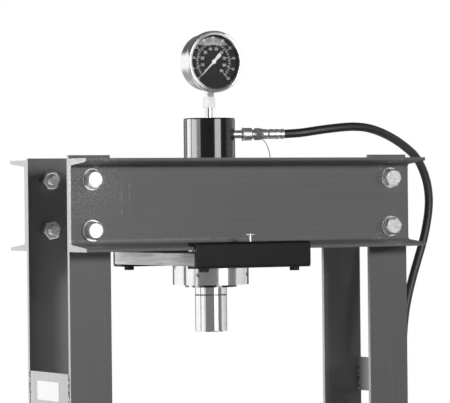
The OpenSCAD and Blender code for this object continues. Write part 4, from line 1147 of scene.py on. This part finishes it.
# Soft boxes: a matt lamp isn't seen in reflections, and a shine lamp is seen only there
brightPieces = ["ring_nut", "rod_guide", "ram_rod", "ram_cap", "gauge_case"]
fittings = ["lock_screw", "gauge_adapter", "rolled_bezel", "port_nipple", "coupler_sleeve", "hose_ferrule"]
bedPieces = ["press_plates", "front_bed_channel", "rear_bed_channel"]
headBolts = ["threaded_bolts", "head_washers"]
barrel = ["cylinder_barrel"]
headAim = (0, 0, 1.5)
stripSize = (1.7, 2.2)
lamps = {
    "left": {"place": (-2.87, 1.46, 1.6), "aim": headAim, "size": (3.4, 1.9), "power": 238, "only": "matt"},
    "leftShineNear": {"place": (-3.19, 0.60, 1.6), "aim": (-0.41, -0.81, 1.5), "size": (1.58, 1.9),
                      "power": 84, "only": "shine", "lights": barrel},
    "leftShineFar": {"place": (-2.37, 2.22, 1.6), "aim": (0.41, 0.81, 1.5), "size": (1.58, 1.9),
                     "power": 84, "only": "shine", "lights": barrel},
    "wing": {"place": (-3.16, -0.61, 1.6), "aim": headAim, "size": (1.0, 2.4), "power": 21,
             "only": "shine", "lights": barrel},
    "strip": {"place": (0.49, -3.47, 1.7), "aim": headAim, "size": stripSize, "power": 102,
              "only": "shine", "spares": brightPieces + fittings + bedPieces + headBolts},
    "softStrip": {"place": (0.49, -3.40, 1.7), "aim": headAim, "size": stripSize, "power": 17,
                  "only": "shine", "lights": brightPieces},
    "middleStrip": {"place": (0.49, -3.43, 1.7), "aim": headAim, "size": stripSize, "power": 74,
                    "only": "shine", "lights": fittings},
    "boltStrip": {"place": (0.72, -3.38, 1.7), "aim": headAim, "size": stripSize, "power": 46,
                  "only": "shine", "lights": headBolts},
    "front": {"place": (0.2, -3.45, 2.1), "aim": headAim, "size": (0.5, 0.5), "power": 29.5, "only": "matt"},
    "right": {"place": (2.7, -2.3, 2.0), "aim": (0.2, 0, 1.45), "size": (0.4, 0.4), "power": 10,
              "only": "matt"},
    "back": {"place": (3.4, 1.0, 2.3), "aim": (0, 0, 1.0), "size": (2.0, 2.0), "power": 62, "only": "matt"},
    "overhead": {"place": (0, 0, 6), "aim": (0, 0, 0), "size": (7, 7), "power": 640,
                 "only": "matt", "lights": ["floor"]},
}


def hangLamp(name, kind, facts):
    lamp = bpy.data.objects.new("lamp." + name, bpy.data.lights.new("lamp." + name, kind))
    lamp.data.energy = facts["power"]
    lamp.location = facts["place"]
    lamp.rotation_euler = (Vector(facts["aim"]) - lamp.location).to_track_quat("-Z", "Y").to_euler()
    lamp.visible_camera = False
    lamp.visible_glossy = facts["only"] != "matt"
    lamp.visible_diffuse = facts["only"] != "shine"
    scene.collection.objects.link(lamp)
    return lamp


# A lamp lights the named pieces alone, or all but the spared ones and the floor, which has its own
def lightOnly(lamp, names, spared):
    chosen = bpy.data.collections.new(lamp.name)
    for name in names or ["floor"] + spared:
        chosen.objects.link(nodes.get(name) or bpy.data.objects[name])
    for member in chosen.collection_objects:
        member.light_linking.link_state = "INCLUDE" if names else "EXCLUDE"
    lamp.light_linking.receiver_collection = chosen


def addLamp(name):
    facts = lamps[name]
    lamp = hangLamp(name, "AREA", facts)
    lamp.data.shape = "RECTANGLE"
    lamp.data.size, lamp.data.size_y = facts["size"]
    lightOnly(lamp, facts.get("lights"), facts.get("spares", []))


# Narrow beam on the dial
beam = {
    "place": (-0.3, -3.3, 1.95), "aim": (-0.02, -0.02, 1.7335), "power": 260, "only": "matt",
    "spread": 2.6, "fade": 0.4, "bulb": 0.05,
}


def addBeam():
    lamp = hangLamp("beam", "SPOT", beam)
    lamp.data.spot_size = radians(beam["spread"])
    lamp.data.spot_blend = beam["fade"]
    lamp.data.shadow_soft_size = beam["bulb"]


# Curtains that only reflections see, between two angles about the press
curtains = {
    "dark": {"from": 70.0, "to": -24.0, "level": 0.17},
    "dim": {"from": -24.0, "to": -52.0, "level": 0.18},
    "grey": {"from": -52.0, "to": -106.0, "level": 0.72},
    "far": {"from": -116.0, "to": -184.0, "level": 0.12},
}
curtainFacts = {"radius": 7.0, "heights": (-0.5, 6.0), "steps": 40}


def addStage(name, work, material):
    thing = bpy.data.objects.new(name, meshFrom(name, work))
    thing.data.materials.append(material)
    scene.collection.objects.link(thing)
    return thing


def addCurtain(name):
    facts = curtains[name]
    radius, steps = curtainFacts["radius"], curtainFacts["steps"]
    work = bmesh.new()
    columns = []
    for i in range(steps + 1):
        angle = radians(facts["from"] + (facts["to"] - facts["from"]) * i / steps)
        x, y = -radius * sin(angle), -radius * cos(angle)
        columns.append([work.verts.new((x, y, z)) for z in curtainFacts["heights"]])
    for a, b in zip(columns, columns[1:]):
        work.faces.new((a[0], b[0], b[1], a[1]))
    material, tree, shader = newMaterial(name + "Curtain")
    feed(tree, shader, {
        "Base Color": grey(0), "Emission Color": grey(1), "Emission Strength": facts["level"]})
    curtain = addStage(name + "Curtain", work, material)
    for ray in ("camera", "diffuse", "transmission", "volume_scatter", "shadow"):
        setattr(curtain, "visible_" + ray, False)


# Pale floor
floorFacts = {
    "radius": 3.0, "sides": 96, "cloud": 3.0, "span": (0.3, 0.7), "tone": (0.78, 0.82), "rough": 0.7,
}


def addFloor():
    work = bmesh.new()
    bmesh.ops.create_circle(work, cap_ends=True, segments=floorFacts["sides"], radius=floorFacts["radius"])
    material, tree, shader = newMaterial("paleFloor")
    cloud = noise(tree, objectPlace(tree), floorFacts["cloud"])
    feed(tree, shader, {
        "Base Color": remap(tree, cloud, floorFacts["span"], floorFacts["tone"]),
        "Roughness": floorFacts["rough"]})
    floor = addStage("floor", work, material)
    floor.visible_diffuse = False


# White surroundings, which reflections see dimmer overhead and below
room = {
    "ambient": 0.008,
    "ceiling": (0.24, 0.36),
    "ceilingLevel": (1.0, 0.12),
    "below": (-0.14, -0.32),
    "belowLevel": (1.0, 0.36),
}


def addWorld():
    world = bpy.data.worlds.new("whiteRoom")
    scene.world = world
    world.use_nodes = True
    tree = world.node_tree
    tree.nodes.clear()
    path = put(tree, "ShaderNodeLightPath").outputs
    mirrored = larger(tree, path["Is Glossy Ray"], path["Is Transmission Ray"])
    seen = larger(tree, path["Is Camera Ray"], mirrored)
    way = put(tree, "ShaderNodeTexCoord").outputs["Generated"]
    height = put(tree, "ShaderNodeSeparateXYZ", {0: way}).outputs["Z"]
    ceiling = remap(tree, height, room["ceiling"], room["ceilingLevel"])
    below = remap(tree, height, room["below"], room["belowLevel"])
    level = larger(tree, reckon(tree, "MINIMUM", ceiling, below), path["Is Camera Ray"])
    white = put(tree, "ShaderNodeBackground", {"Color": grey(1), "Strength": level})
    fill = put(tree, "ShaderNodeBackground", {"Color": grey(1), "Strength": room["ambient"]})
    mix = put(tree, "ShaderNodeMixShader", {0: seen, 1: fill.outputs[0], 2: white.outputs[0]})
    put(tree, "ShaderNodeOutputWorld", {"Surface": mix.outputs[0]})


addFloor()
for lampName in lamps:
    addLamp(lampName)
addBeam()
for curtainName in curtains:
    addCurtain(curtainName)
addWorld()
scene.view_settings.view_transform = "Standard"
print("studio lit")
